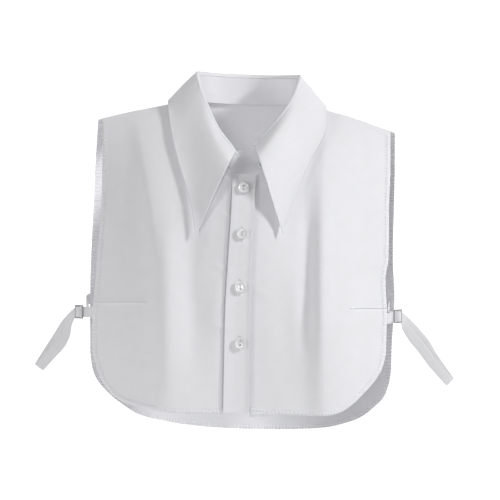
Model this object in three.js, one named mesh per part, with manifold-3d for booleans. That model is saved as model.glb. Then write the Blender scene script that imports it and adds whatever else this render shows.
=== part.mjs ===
// A white detachable shirt collar with a front and a back bib, in the shape that it takes when worn.
// Millimetres, +Z up, the buttoned front faces -Y and the wearer's right side is -X.
// The origin is in the middle of the neck opening, level with the shoulder seams.
import * as THREE from 'three';
import { mergeVertices } from 'three/addons/utils/BufferGeometryUtils.js';
import Module from 'manifold-3d';

const wasm = await Module();
wasm.setup();

// Cloth and gaps
const clothWall = 1.2;
const collarWall = 1.5;
const placketWall = 1.8;
const tapeWall = 1.0;
const seamGap = 0.35;
const shoulderGap = 0.6;
const placketProud = 0.4;
const placketLap = 2;

// Buttons
const buttonDiameter = 11.5;
const buttonThickness = 2.4;
const buttonRim = 1.5;
const buttonDish = 0.7;
const threadHole = 1.8;
const threadHoleSpacing = 3.4;
const collarButtonDiameter = 9.5;
const collarButtonShank = 1.9;

// Side straps and their sliders
const tapeWidth = 10.0;
const tapeApart = 0.35;
const sliderBar = 1.0;
const sliderThickness = 1.2;
const sliderPitch = 5.5;
const sliderWeave = 2.6;
const sliderRail = 1.4;
const sliderTurn = 48;
const sliderReach = 1.25;
const tapeBend = 1.6;

// How finely each piece is divided
const frontMesh = { down: 25, inner: 8, outer: 12 };
const backMesh = { down: 19, outer: 9, middle: 12 };
const standMesh = { up: 3, along: 44 };
const leafMesh = { turn: 2, fall: 5, along: 40 };
const placketMesh = { down: 24, across: 3 };
const tapeMesh = { front: 5, slider: 10, loop: 14, back: 14 };
const buttonSides = 18;
const threadHoleSides = 6;

const fabric = material('white poplin', '#ebebef', 0.86);
const collarFabric = material('white poplin, collar', '#efeff3', 0.84);
const tape = material('white woven tape', '#e6e6e9', 0.8);
const buttonPlastic = material('white button plastic', '#f1f1f3', 0.35);
const sliderPlastic = material('clear white slider plastic', '#d9dadd', 0.3);

// Height of the shoulder ridge over the row's width.
// Between the neck points it is the form under the collar.
const shoulderRidge = [
  { x: -158, z: -14 },
  { x: -149, z: -11.5 },
  { x: -118, z: -4 },
  { x: -97, z: 0 },
  { x: -78, z: 4 },
  { x: -61, z: 9 },
  { x: -40, z: 21 },
  { x: -18, z: 37 },
  { x: 0, z: 42 },
  { x: 18, z: 37 },
  { x: 40, z: 20 },
  { x: 61, z: 5 },
  { x: 79, z: -3 },
  { x: 97, z: -8 },
  { x: 120, z: -16 },
  { x: 145, z: -25 },
  { x: 158, z: -29 },
];

// How far the bibs stand off the shoulder plane, on the centre line and at the side edge.
// The key is the drop below the ridge.
const chestForm = [
  { drop: 0, centre: 0, edge: 0 },
  { drop: 4, centre: 12, edge: 6 },
  { drop: 12, centre: 25, edge: 13 },
  { drop: 34, centre: 45, edge: 24 },
  { drop: 66, centre: 65, edge: 37 },
  { drop: 100, centre: 78, edge: 46 },
  { drop: 140, centre: 92, edge: 54 },
  { drop: 200, centre: 106, edge: 61 },
  { drop: 250, centre: 108, edge: 63 },
  { drop: 300, centre: 105, edge: 63 },
  { drop: 360, centre: 101, edge: 62 },
];
const backForm = [
  { drop: 0, centre: 0, edge: 0 },
  { drop: 1, centre: 14, edge: 3 },
  { drop: 4, centre: 29, edge: 8 },
  { drop: 17, centre: 55, edge: 16 },
  { drop: 36, centre: 65, edge: 22 },
  { drop: 80, centre: 76, edge: 30 },
  { drop: 150, centre: 86, edge: 35 },
  { drop: 250, centre: 91, edge: 38 },
  { drop: 380, centre: 92, edge: 38 },
];
const formSquareness = 3;

// Side edges, hems and the seam that joins the bibs to the collar stand.
const wearersRight = {
  sign: -1,
  sideEdge: [
    { z: 0, x: -146 },
    { z: -23, x: -145.7 },
    { z: -67, x: -144.8 },
    { z: -92, x: -145.3 },
    { z: -150, x: -148.9 },
    { z: -206, x: -153.2 },
    { z: -232, x: -153.2 },
    { z: -300, x: -152.2 },
  ],
  hem: [
    { x: -154, z: -234 },
    { x: -152.6, z: -241 },
    { x: -148.5, z: -257 },
    { x: -142.5, z: -270 },
    { x: -132, z: -282 },
    { x: -120, z: -288.5 },
    { x: -98, z: -293.3 },
    { x: -74, z: -296.4 },
    { x: -28, z: -297.6 },
    { x: 10, z: -297 },
  ],
  neckSeam: [
    { x: -61, z: 8.6 },
    { x: -59, z: 2 },
    { x: -55, z: -9 },
    { x: -49, z: -23 },
    { x: -36, z: -45 },
    { x: -20, z: -60 },
    { x: -9, z: -66.5 },
    { x: 8, z: -70 },
  ],
};
const wearersLeft = {
  sign: 1,
  sideEdge: [
    { z: 0, x: 142 },
    { z: -35, x: 140.6 },
    { z: -63, x: 139.9 },
    { z: -97, x: 138.1 },
    { z: -151, x: 136.8 },
    { z: -168, x: 134.0 },
    { z: -204, x: 135.2 },
    { z: -236, x: 134.2 },
    { z: -300, x: 133.6 },
  ],
  hem: [
    { x: -26, z: -295 },
    { x: 0, z: -296 },
    { x: 31, z: -298.5 },
    { x: 67, z: -299.7 },
    { x: 82, z: -298.7 },
    { x: 96, z: -292.7 },
    { x: 114, z: -277.3 },
    { x: 128, z: -260.7 },
    { x: 133, z: -247 },
    { x: 134.4, z: -238 },
  ],
  neckSeam: [
    { x: -26, z: -63 },
    { x: -12, z: -66.5 },
    { x: 2, z: -65 },
    { x: 18, z: -57 },
    { x: 32, z: -43 },
    { x: 47, z: -23 },
    { x: 55, z: -9 },
    { x: 59, z: 0 },
    { x: 61, z: 4.6 },
  ],
};
const backBib = {
  rightEdge: [
    { z: 0, x: -149.5 },
    { z: -46, x: -153.5 },
    { z: -92, x: -156.1 },
    { z: -153, x: -159.4 },
    { z: -191, x: -160.5 },
    { z: -243, x: -160.5 },
    { z: -330, x: -159.5 },
  ],
  leftEdge: [
    { z: 0, x: 145.5 },
    { z: -67, x: 146.5 },
    { z: -153, x: 145.2 },
    { z: -192, x: 147 },
    { z: -240, x: 144.4 },
    { z: -262, x: 144 },
    { z: -330, x: 143.5 },
  ],
  neckSeam: [
    { x: -61, z: 8.6 },
    { x: -54, z: 9 },
    { x: -31, z: 8 },
    { x: 0, z: 6 },
    { x: 31, z: 6 },
    { x: 54, z: 5 },
    { x: 61, z: 4.6 },
  ],
  hem: [
    { x: -160, z: -249.4 },
    { x: -158.3, z: -262.4 },
    { x: -154.5, z: -273.4 },
    { x: -144, z: -287.4 },
    { x: -130, z: -300.4 },
    { x: -112, z: -312.7 },
    { x: -84, z: -320.6 },
    { x: -51, z: -325.6 },
    { x: -20, z: -327.9 },
    { x: 25, z: -329.5 },
    { x: 57, z: -328.3 },
    { x: 80, z: -326.2 },
    { x: 98, z: -321.2 },
    { x: 115, z: -313.7 },
    { x: 128, z: -302.7 },
    { x: 137, z: -292 },
    { x: 142, z: -277.4 },
    { x: 144, z: -263.4 },
  ],
};
const neckPoint = 61;
// The bib under the placket lies this far behind the other, and less near the shoulder seam.
const underPlacket = 1.9;
const layerReach = 40;

// Long soft folds that fall from the shoulders over the bust: a row for each height.
// Each fold has a crest at x, and it is narrow on its outer side and wide on its inner side.
const foldsOnRight = [
  { z: 0, x: -110, height: 0, outer: 10, inner: 20 },
  { z: -40, x: -104, height: 3.5, outer: 10, inner: 22 },
  { z: -120, x: -91, height: 8, outer: 12, inner: 28 },
  { z: -190, x: -86, height: 9.5, outer: 14, inner: 32 },
  { z: -270, x: -86, height: 8, outer: 15, inner: 32 },
  { z: -320, x: -86, height: 6, outer: 16, inner: 32 },
];
const foldsOnLeft = [
  { z: 0, x: 80, height: 0, outer: 24, inner: 10 },
  { z: -50, x: 76, height: 4.5, outer: 26, inner: 11 },
  { z: -110, x: 72, height: 9, outer: 30, inner: 13 },
  { z: -190, x: 71, height: 10.5, outer: 32, inner: 14 },
  { z: -270, x: 74, height: 8.5, outer: 32, inner: 15 },
  { z: -320, x: 76, height: 6.5, outer: 32, inner: 16 },
];

// Collar stand: its top edge and its base, from the buttonhole end round the back to the button end.
const stand = [
  { x: 20, y: -63.6, z: -56.5, baseX: 21, baseY: -75, baseZ: -69 },
  { x: -5.5, y: -64.4, z: -51.3, baseX: -6, baseY: -76, baseZ: -67.2 },
  { x: -16.4, y: -60.9, z: -39.6, baseX: -19.5, baseY: -72, baseZ: -59.5 },
  { x: -29.4, y: -50.7, z: -22.1, baseX: -35, baseY: -60, baseZ: -43 },
  { x: -40, y: -35.1, z: 0.4, baseX: -48, baseY: -42, baseZ: -21.5 },
  { x: -46.8, y: -18.5, z: 19.4, baseX: -56, baseY: -22, baseZ: -4 },
  { x: -49.2, y: -1.9, z: 31.4, baseX: -58.6, baseY: -1, baseZ: 6 },
  { x: -45.4, y: 25.3, z: 33.4, baseX: -52.4, baseY: 26.6, baseZ: 7 },
  { x: -27, y: 46.8, z: 32.4, baseX: -31, baseY: 52.9, baseZ: 6 },
  { x: 0, y: 55.6, z: 31.4, baseX: 0, baseY: 62.6, baseZ: 4.5 },
  { x: 27, y: 46.8, z: 30.4, baseX: 31.5, baseY: 54.2, baseZ: 4.5 },
  { x: 45.4, y: 25.3, z: 29.9, baseX: 53, baseY: 27.4, baseZ: 3.5 },
  { x: 49.2, y: -1.9, z: 28.4, baseX: 58.6, baseY: -1, baseZ: 2 },
  { x: 45.4, y: -19.5, z: 17.4, baseX: 55.5, baseY: -22, baseZ: -6 },
  { x: 38.2, y: -35.1, z: 1.4, baseX: 46.5, baseY: -42, baseZ: -21.5 },
  { x: 24.7, y: -48.8, z: -17.6, baseX: 31.5, baseY: -59, baseZ: -41 },
  { x: 13.2, y: -56, z: -30.6, baseX: 18, baseY: -63, baseZ: -53.5 },
  { x: 1, y: -58.8, z: -42.1, baseX: 2, baseY: -64.4, baseZ: -62.5 },
  { x: -10.6, y: -58.2, z: -43.6, baseX: -12, baseY: -65.5, baseZ: -64 },
];

// Collar leaf: how far along the stand each row is, and where its outer edge lies.
const leaf = [
  { along: 0.078, x: -51.8, y: -93, z: -126.5 },
  { along: 0.12, x: -53.5, y: -88.5, z: -113 },
  { along: 0.17, x: -57.5, y: -79, z: -92 },
  { along: 0.23, x: -69.2, y: -60.5, z: -54 },
  { along: 0.29, x: -76.5, y: -39.5, z: -24 },
  { along: 0.34, x: -80.8, y: -6, z: 5.4 },
  { along: 0.39, x: -76, y: 32, z: 3 },
  { along: 0.44, x: -52, y: 60, z: -8 },
  { along: 0.52, x: 0, y: 74, z: -12 },
  { along: 0.6, x: 52, y: 60, z: -12 },
  { along: 0.65, x: 75, y: 32, z: -3.5 },
  { along: 0.7, x: 77, y: -6, z: 0 },
  { along: 0.75, x: 74, y: -38.5, z: -26 },
  { along: 0.8, x: 60, y: -61.5, z: -52 },
  { along: 0.86, x: 47, y: -78, z: -82 },
  { along: 0.9, x: 39, y: -88.5, z: -104 },
  { along: 0.935, x: 32.9, y: -97, z: -124.9 },
];
const leafRoll = 2;
const leafFoldGap = 0.9;
const leafLift = 2.6;
const leafSoftness = 5;
const leafArch = { place: 0.5, sharpness: 1.5 };

// Each front edge of the leaf springs off the bibs by its height, and slopes down to them from there.
const leafSprings = [
  { from: 0.72, to: 0.935, height: 16 },
  { from: 0.27, to: 0.078, height: 11 },
];

// Placket: its two long edges.
const placket = [
  { z: -66, right: -15.9, left: 7.1 },
  { z: -96, right: -16.8, left: 5.6 },
  { z: -160, right: -20.8, left: 2.4 },
  { z: -200, right: -23, left: 1.4 },
  { z: -296.6, right: -25, left: 0.2 },
];
const collarButtonPlace = { along: 0.014, up: 0.66 };
const placketButtons = [
  { z: -80, x: -5 },
  { z: -124, x: -6.2 },
  { z: -175, x: -8.1 },
  { z: -229, x: -8.4 },
];

// Side straps: the centre line of the doubled tape from its slider to the end of its loop.
// Its width leans, and its two strands bow and open apart.
const strapOnRight = {
  slider: { x: -168.5, y: -27, z: -202.5 },
  loop: [
    { x: -176.5, y: -18, z: -208.5, lean: 12, bow: 2, open: 0.5 },
    { x: -182, y: -14, z: -219, lean: 34, bow: 6, open: 3 },
    { x: -189, y: -12, z: -231.5, lean: 45, bow: 6.5, open: 5 },
    { x: -198, y: -11, z: -243.5, lean: 50, bow: 4, open: 4 },
    { x: -209, y: -10, z: -258, lean: 53, bow: 0.6, open: 0.6 },
  ],
  front: [
    { x: -147, y: -57, z: -201.5 },
    { x: -157, y: -51, z: -201.5 },
  ],
  back: [
    { x: -161, y: -10, z: -198 },
    { x: -163, y: 12, z: -193 },
    { x: -159, y: 27, z: -191.5 },
    { x: -151, y: 34, z: -191 },
  ],
};
const strapOnLeft = {
  slider: { x: 147.5, y: -27, z: -207 },
  loop: [
    { x: 155, y: -18, z: -214, lean: 26, bow: 3, open: 0.5 },
    { x: 163.5, y: -15, z: -225, lean: 38, bow: 5.5, open: 3 },
    { x: 174, y: -13, z: -237.5, lean: 42, bow: 5.5, open: 4 },
    { x: 184, y: -12, z: -252.5, lean: 44, bow: 3.5, open: 3 },
    { x: 200, y: -12, z: -272.5, lean: 44, bow: 0.6, open: 0.6 },
  ],
  front: [
    { x: 128, y: -58, z: -208 },
    { x: 137.5, y: -51, z: -208 },
  ],
  back: [
    { x: 139, y: -10, z: -203 },
    { x: 141, y: 20, z: -198 },
    { x: 139, y: 34, z: -197 },
  ],
};

function material(name, color, roughness) {
  const made = new THREE.MeshStandardMaterial({ color, roughness, metalness: 0 });
  made.name = name;
  return made;
}

// Smooth curve through a table: the value of one column at a place in another.
function lookUp(rows, key, column, at) {
  const rising = rows[rows.length - 1][key] > rows[0][key];
  const table = rising ? rows : [...rows].reverse();
  const last = table.length - 1;
  if (at <= table[0][key]) return table[0][column];
  if (at >= table[last][key]) return table[last][column];
  let i = 0;
  while (table[i + 1][key] < at) i += 1;
  const slope = (k) => {
    const before = table[Math.max(k - 1, 0)];
    const after = table[Math.min(k + 1, last)];
    return (after[column] - before[column]) / (after[key] - before[key]);
  };
  const span = table[i + 1][key] - table[i][key];
  const t = (at - table[i][key]) / span;
  const rise = table[i + 1][column] - table[i][column];
  const startBend = slope(i) * span - rise;
  const endBend = rise - slope(i + 1) * span;
  return table[i][column] + rise * t + t * (1 - t) * (startBend * (1 - t) + endBend * t);
}

// A table without a key of its own is spread evenly from 0 to 1.
function spread(rows) {
  return rows.map((row, i) => ({ ...row, at: i / (rows.length - 1) }));
}

function steps(count, shape = (t) => t) {
  return Array.from({ length: count + 1 }, (_, i) => shape(i / count));
}

const upright = new THREE.Vector3(0, 0, 1);
const mix = (a, b, t) => a + (b - a) * t;
const towardsEnd = (t) => Math.sin((t * Math.PI) / 2);
const held = (t) => Math.min(Math.max(t, 0), 1);

// Distance of a bib from the shoulder plane, at a width and a height.
function formDepth(form, x, z, halfWidth) {
  const drop = Math.max(lookUp(shoulderRidge, 'x', 'z', x) - z, 0);
  const rows = form.map((row) => ({ ...row, root: Math.sqrt(row.drop) }));
  const centre = lookUp(rows, 'root', 'centre', Math.sqrt(drop));
  const edge = lookUp(rows, 'root', 'edge', Math.sqrt(drop));
  const across = Math.min(Math.abs(x) / halfWidth, 1);
  return mix(centre, edge, across ** formSquareness);
}

function foldHeight(folds, x, z) {
  const crest = lookUp(folds, 'z', 'x', z);
  const outwards = Math.abs(x) > Math.abs(crest);
  const width = lookUp(folds, 'z', outwards ? 'outer' : 'inner', z);
  return lookUp(folds, 'z', 'height', z) * Math.exp(-(((x - crest) / width) ** 2));
}

// The front bibs share one form, with the folds of both sides.
function chestDepth(x, z) {
  const side = x < 0 ? wearersRight : wearersLeft;
  const halfWidth = Math.abs(lookUp(side.sideEdge, 'z', 'x', z));
  const folds = foldHeight(foldsOnRight, x, z) + foldHeight(foldsOnLeft, x, z);
  return formDepth(chestForm, x, z, halfWidth) + folds;
}

function backDepth(x, z) {
  const edge = x < 0 ? backBib.rightEdge : backBib.leftEdge;
  return formDepth(backForm, x, z, Math.abs(lookUp(edge, 'z', 'x', z)));
}

// A closed wall of cloth round a grid of points: rows[j][i] is a THREE.Vector3 on its middle.
function clothWallAround(grid, wall) {
  const down = grid.length;
  const across = grid[0].length;
  const within = (k, count) => Math.min(Math.max(k, 0), count - 1);
  const point = (j, i) => grid[within(j, down)][within(i, across)];
  const positions = [];
  for (const side of [0.5, -0.5]) {
    for (let j = 0; j < down; j += 1) {
      for (let i = 0; i < across; i += 1) {
        const alongRow = point(j, i + 1).clone().sub(point(j, i - 1));
        const alongColumn = point(j + 1, i).clone().sub(point(j - 1, i));
        const normal = alongColumn.cross(alongRow).normalize();
        const place = point(j, i).clone().addScaledVector(normal, side * wall);
        positions.push(place.x, place.y, place.z);
      }
    }
  }
  const index = [];
  const quad = (a, b, c, d) => index.push(a, b, c, a, c, d);
  const upper = (j, i) => j * across + i;
  const lower = (j, i) => down * across + upper(j, i);
  for (let j = 0; j + 1 < down; j += 1) {
    for (let i = 0; i + 1 < across; i += 1) {
      quad(upper(j, i), upper(j + 1, i), upper(j + 1, i + 1), upper(j, i + 1));
      quad(lower(j, i), lower(j, i + 1), lower(j + 1, i + 1), lower(j + 1, i));
    }
  }
  for (let i = 0; i + 1 < across; i += 1) {
    quad(upper(0, i), upper(0, i + 1), lower(0, i + 1), lower(0, i));
    quad(upper(down - 1, i + 1), upper(down - 1, i), lower(down - 1, i), lower(down - 1, i + 1));
  }
  for (let j = 0; j + 1 < down; j += 1) {
    quad(upper(j + 1, 0), upper(j, 0), lower(j, 0), lower(j + 1, 0));
    quad(upper(j, across - 1), upper(j + 1, across - 1), lower(j + 1, across - 1), lower(j, across - 1));
  }
  const geometry = new THREE.BufferGeometry();
  geometry.setAttribute('position', new THREE.Float32BufferAttribute(positions, 3));
  geometry.setIndex(index);
  return geometry;
}

// Turns a wall inside out where its grid runs the other way round, so that every solid faces outwards.
function facingOutwards(geometry) {
  const place = geometry.attributes.position;
  const index = geometry.index.array;
  const corner = [new THREE.Vector3(), new THREE.Vector3(), new THREE.Vector3()];
  let volume = 0;
  for (let k = 0; k < index.length; k += 3) {
    corner.forEach((point, n) => point.fromBufferAttribute(place, index[k + n]));
    volume += corner[0].dot(corner[1].clone().cross(corner[2]));
  }
  if (volume < 0) {
    for (let k = 0; k < index.length; k += 3) [index[k], index[k + 1]] = [index[k + 1], index[k]];
  }
  geometry.computeVertexNormals();
  return geometry;
}

function solid(name, geometry, look) {
  const mesh = new THREE.Mesh(facingOutwards(geometry), look);
  mesh.name = name;
  return mesh;
}

// Columns of a front bib: from its inner edge to the neck point, and on to its side edge.
function bibColumns(innerCount, outerCount) {
  const inner = steps(innerCount, towardsEnd).map((share) => ({ zone: 'inner', share }));
  const outer = steps(outerCount, towardsEnd).map((share) => ({ zone: 'outer', share }));
  inner.pop();
  return [...inner, ...outer];
}

// Rows of a bib lie closer together near the shoulder, where the form turns most.
const towardsShoulder = (t) => t ** 1.6;

// Heights at which a column's width is read, to find where its top and its bottom lie.
const neckHeight = -60;
const frontHemHeight = -260;
const backHemHeight = -300;

function frontBib(side, innerEdge, layer) {
  const corner = side.sign * neckPoint;
  const ridge = (x) => lookUp(shoulderRidge, 'x', 'z', x);
  const widthAt = (column, z) => {
    if (column.zone === 'inner') return mix(innerEdge(z), corner, column.share);
    return mix(corner, lookUp(side.sideEdge, 'z', 'x', z), column.share);
  };
  const neckSeam = (x) => lookUp(side.neckSeam, 'x', 'z', x);
  const columns = bibColumns(frontMesh.inner, frontMesh.outer).map((column) => {
    const inner = column.zone === 'inner';
    const top = inner ? neckSeam(widthAt(column, neckHeight)) : ridge(widthAt(column, 0));
    const bottom = lookUp(side.hem, 'x', 'z', widthAt(column, frontHemHeight));
    return { column, top, bottom };
  });
  const grid = steps(frontMesh.down, towardsShoulder).map((down) => columns.map(({ column, top, bottom }) => {
    const z = mix(top, bottom, down);
    const x = widthAt(column, z);
    const depth = chestDepth(x, z);
    const behind = layer * Math.min(depth / layerReach, 1);
    return new THREE.Vector3(x, behind - depth - shoulderGap / 2, z);
  }));
  return clothWallAround(grid, clothWall);
}

function backPanel() {
  const edgeAt = (share, z) => {
    const right = lookUp(backBib.rightEdge, 'z', 'x', z);
    const left = lookUp(backBib.leftEdge, 'z', 'x', z);
    if (share <= 1) return mix(right, -neckPoint, share);
    if (share <= 2) return mix(-neckPoint, neckPoint, share - 1);
    return mix(neckPoint, left, share - 2);
  };
  const outer = steps(backMesh.outer, (t) => 1 - towardsEnd(1 - t));
  const middle = steps(backMesh.middle, (t) => (1 - Math.cos(t * Math.PI)) / 2).slice(1, -1);
  const last = steps(backMesh.outer, towardsEnd);
  const shares = [...outer, ...middle.map((t) => 1 + t), ...last.map((t) => 2 + t)];
  const columns = shares.map((share) => {
    const topLine = share > 1 && share < 2 ? backBib.neckSeam : shoulderRidge;
    const top = lookUp(topLine, 'x', 'z', edgeAt(share, 0));
    const bottom = lookUp(backBib.hem, 'x', 'z', edgeAt(share, backHemHeight));
    return { share, top, bottom };
  });
  const grid = steps(backMesh.down, towardsShoulder).map((down) => columns.map(({ share, top, bottom }) => {
    const z = mix(top, bottom, down);
    const x = edgeAt(share, z);
    return new THREE.Vector3(x, backDepth(x, z) + shoulderGap / 2, z);
  }));
  return clothWallAround(grid, clothWall);
}

function standPoint(along, up) {
  const rows = spread(stand);
  const top = ['x', 'y', 'z'].map((axis) => lookUp(rows, 'at', axis, along));
  const base = ['baseX', 'baseY', 'baseZ'].map((axis) => lookUp(rows, 'at', axis, along));
  return new THREE.Vector3(...base).lerp(new THREE.Vector3(...top), up);
}

function collarStand() {
  const places = steps(standMesh.along);
  const grid = steps(standMesh.up).map((up) => places.map((along) => standPoint(along, up)));
  return clothWallAround(grid, collarWall);
}

// The leaf rolls over the top edge of the stand and falls to its outer edge, clear of the bibs.
function leafPoint(row, across) {
  const top = standPoint(row.along, 1);
  const edge = new THREE.Vector3(row.x, row.y, row.z);
  const away = new THREE.Vector3(edge.x - top.x, edge.y - top.y, 0).normalize();
  const roll = across.turn * Math.PI;
  const fold = top.clone();
  fold.addScaledVector(away, leafRoll * (1 - Math.cos(roll)));
  fold.z += collarWall / 2 + leafFoldGap + leafRoll * (0.5 + 0.5 * Math.sin(roll));
  if (across.fall === 0) return fold;
  return clearOfBibs(fold.lerp(edge, across.fall), leafSpring(row.along, across.fall));
}

function leafSpring(along, fall) {
  const arch = Math.sin(Math.PI * fall ** leafArch.place) ** leafArch.sharpness;
  const heights = leafSprings.map(({ from, to, height }) => height * held((along - from) / (to - from)));
  return arch * heights.reduce((sum, height) => sum + height);
}

// Keeps the leaf before the bibs that it lies on, without a crease where it comes to lie on them.
function clearOfBibs(point, spring) {
  const below = point.z - leafLift;
  const form = point.y < 0 ? chestDepth(point.x, below) : backDepth(point.x, below);
  const out = Math.abs(point.y);
  const apart = out - form - leafLift / 2 - spring;
  point.y = Math.sign(point.y) * (out - apart / 2 + Math.hypot(apart, leafSoftness) / 2);
  return point;
}

function collarLeaf() {
  const last = leaf[leaf.length - 1].along;
  const turns = steps(leafMesh.turn).map((turn) => ({ turn, fall: 0 }));
  const falls = steps(leafMesh.fall).slice(1).map((fall) => ({ turn: 1, fall }));
  const grid = [...turns, ...falls].map((across) => steps(leafMesh.along).map((t) => {
    const along = mix(leaf[0].along, last, t);
    const row = { along };
    for (const axis of ['x', 'y', 'z']) row[axis] = lookUp(leaf, 'along', axis, along);
    return leafPoint(row, across);
  }));
  return clothWallAround(grid, collarWall);
}

function placketEdge(edge, z) {
  return lookUp(placket, 'z', edge, z);
}

function placketStrip() {
  const top = placket[0].z;
  const bottom = placket[placket.length - 1].z;
  const grid = steps(placketMesh.down).map((down) => steps(placketMesh.across).map((across) => {
    const z = mix(top, bottom, down);
    const x = mix(placketEdge('right', z), placketEdge('left', z), across);
    return new THREE.Vector3(x, -chestDepth(x, z) - placketProud, z);
  }));
  return clothWallAround(grid, placketWall);
}

// manifold-3d only joins and cuts closed bodies.
function toManifold(geometry) {
  const bare = geometry.clone();
  bare.deleteAttribute('normal');
  bare.deleteAttribute('uv');
  const merged = mergeVertices(bare, 1e-4);
  const index = merged.index.array;
  const faces = [];
  for (let k = 0; k < index.length; k += 3) {
    const [a, b, c] = [index[k], index[k + 1], index[k + 2]];
    if (a !== b && b !== c && c !== a) faces.push(a, b, c);
  }
  return new wasm.Manifold(new wasm.Mesh({
    numProp: 3,
    vertProperties: merged.attributes.position.array,
    triVerts: new Uint32Array(faces),
  }));
}

function fromManifold(body) {
  const mesh = body.getMesh();
  const geometry = new THREE.BufferGeometry();
  geometry.setAttribute('position', new THREE.BufferAttribute(new Float32Array(mesh.vertProperties), 3));
  geometry.setIndex([...mesh.triVerts]);
  return geometry;
}

// A dished button with two thread holes, its face towards +Y of the lathe.
function buttonBody(diameter) {
  const outer = diameter / 2;
  const profile = [
    [0, 0],
    [outer - 0.8, 0],
    [outer, 0.8],
    [outer, buttonThickness - 0.5],
    [outer - 0.5, buttonThickness],
    [outer - buttonRim, buttonThickness],
    [outer - buttonRim - 0.5, buttonThickness - buttonDish],
    [0, buttonThickness - buttonDish],
  ].map(([r, h]) => new THREE.Vector2(r, h));
  let body = toManifold(new THREE.LatheGeometry(profile, buttonSides));
  for (const side of [-1, 1]) {
    const radius = threadHole / 2;
    const hole = new THREE.CylinderGeometry(radius, radius, 3 * buttonThickness, threadHoleSides);
    hole.translate(0, 0, (side * threadHoleSpacing) / 2);
    body = body.subtract(toManifold(hole));
  }
  return fromManifold(body);
}

// Puts a button on a surface point, its face along the surface normal and its holes one above the other.
function buttonAt(name, diameter, place, outwards) {
  const geometry = buttonBody(diameter);
  const across = new THREE.Vector3().crossVectors(outwards, upright).normalize();
  const tall = new THREE.Vector3().crossVectors(across, outwards);
  geometry.applyMatrix4(new THREE.Matrix4().makeBasis(across, outwards, tall));
  geometry.translate(place.x, place.y, place.z);
  return solid(name, geometry, buttonPlastic);
}

function chestNormal(x, z) {
  const step = 2;
  const acrossSlope = (chestDepth(x + step, z) - chestDepth(x - step, z)) / (2 * step);
  const downSlope = (chestDepth(x, z + step) - chestDepth(x, z - step)) / (2 * step);
  return new THREE.Vector3(-acrossSlope, -1, -downSlope).normalize();
}

function placketButton(name, { x, z }) {
  const outwards = chestNormal(x, z);
  const place = new THREE.Vector3(x, -chestDepth(x, z) - placketProud, z);
  place.addScaledVector(outwards, placketWall / 2 + seamGap);
  return buttonAt(name, buttonDiameter, place, outwards);
}

// Flat tape along stations, each with a place and the direction of the tape's width.
function tapeAlong(stations) {
  const grid = [-0.5, 0.5].map((side) => stations.map(({ place, wide }) => (
    place.clone().addScaledVector(wide, side * tapeWidth)
  )));
  return clothWallAround(grid, tapeWall);
}

// The slider's own directions: along the tape, and out of its face.
function sliderAxes(sign) {
  const turn = THREE.MathUtils.degToRad(sliderTurn);
  const along = new THREE.Vector3(sign * Math.cos(turn), Math.sin(turn), 0);
  const out = new THREE.Vector3(sign * Math.sin(turn), -Math.cos(turn), 0);
  return { along, out };
}

// A smooth path through rows that each hold a place, with every other column carried along it.
function smoothPath(rows, count) {
  const places = new THREE.CatmullRomCurve3(rows.map((row) => row.place), false, 'centripetal');
  const table = spread(rows);
  const columns = Object.keys(rows[0]).filter((column) => column !== 'place');
  return steps(count).map((t) => {
    const station = { place: places.getPoint(t) };
    for (const column of columns) station[column] = lookUp(table, 'at', column, t);
    return station;
  });
}

const placeOf = ({ x, y, z }) => new THREE.Vector3(x, y, z);

// The doubled tape weaves through the slider: behind its outer bars and before the middle one.
function weaveStations(strap, sign) {
  const { along, out } = sliderAxes(sign);
  return steps(tapeMesh.slider).map((t) => {
    const bar = mix(-sliderReach, sliderReach, t);
    const place = placeOf(strap.slider);
    place.addScaledVector(along, bar * sliderPitch);
    place.addScaledVector(out, sliderWeave * Math.cos(bar * Math.PI));
    return { place, lean: 0, bow: 0, open: 0 };
  });
}

// One of the two strands: side +1 lies before the other, and both bow apart in the loop.
function strand(middle, side, sign) {
  return middle.map(({ place, lean, bow, open }, i) => {
    const before = middle[Math.max(i - 1, 0)].place;
    const after = middle[Math.min(i + 1, middle.length - 1)].place;
    const turn = THREE.MathUtils.degToRad(lean);
    const wide = new THREE.Vector3(sign * Math.sin(turn), 0, Math.cos(turn));
    const normal = new THREE.Vector3().crossVectors(wide, after.clone().sub(before)).normalize();
    const apart = (tapeWall + tapeApart + open) / 2;
    const moved = place.clone().addScaledVector(normal, -side * sign * apart);
    return { place: moved.addScaledVector(wide, (-side * bow) / 2), wide };
  });
}

// The single tape that leads from a bib to the slider.
function leadStations(places, first, count) {
  const stations = smoothPath([...places, first].map((place) => ({ place })), count);
  return stations.slice(0, -1).map(({ place }) => ({ place, wide: upright }));
}

// The aft strand leaves the slider where the fore strand comes in, so it turns back in a small bend.
function backTurn(aft, sign) {
  const [before, end] = aft.slice(-2).map(({ place }) => place);
  const onward = end.clone().sub(before).normalize();
  const inwards = onward.clone().cross(upright).multiplyScalar(sign);
  return [
    end.clone().addScaledVector(inwards, 2 * tapeBend),
    end.clone().addScaledVector(inwards, tapeBend).addScaledVector(onward, tapeBend),
  ];
}

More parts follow.
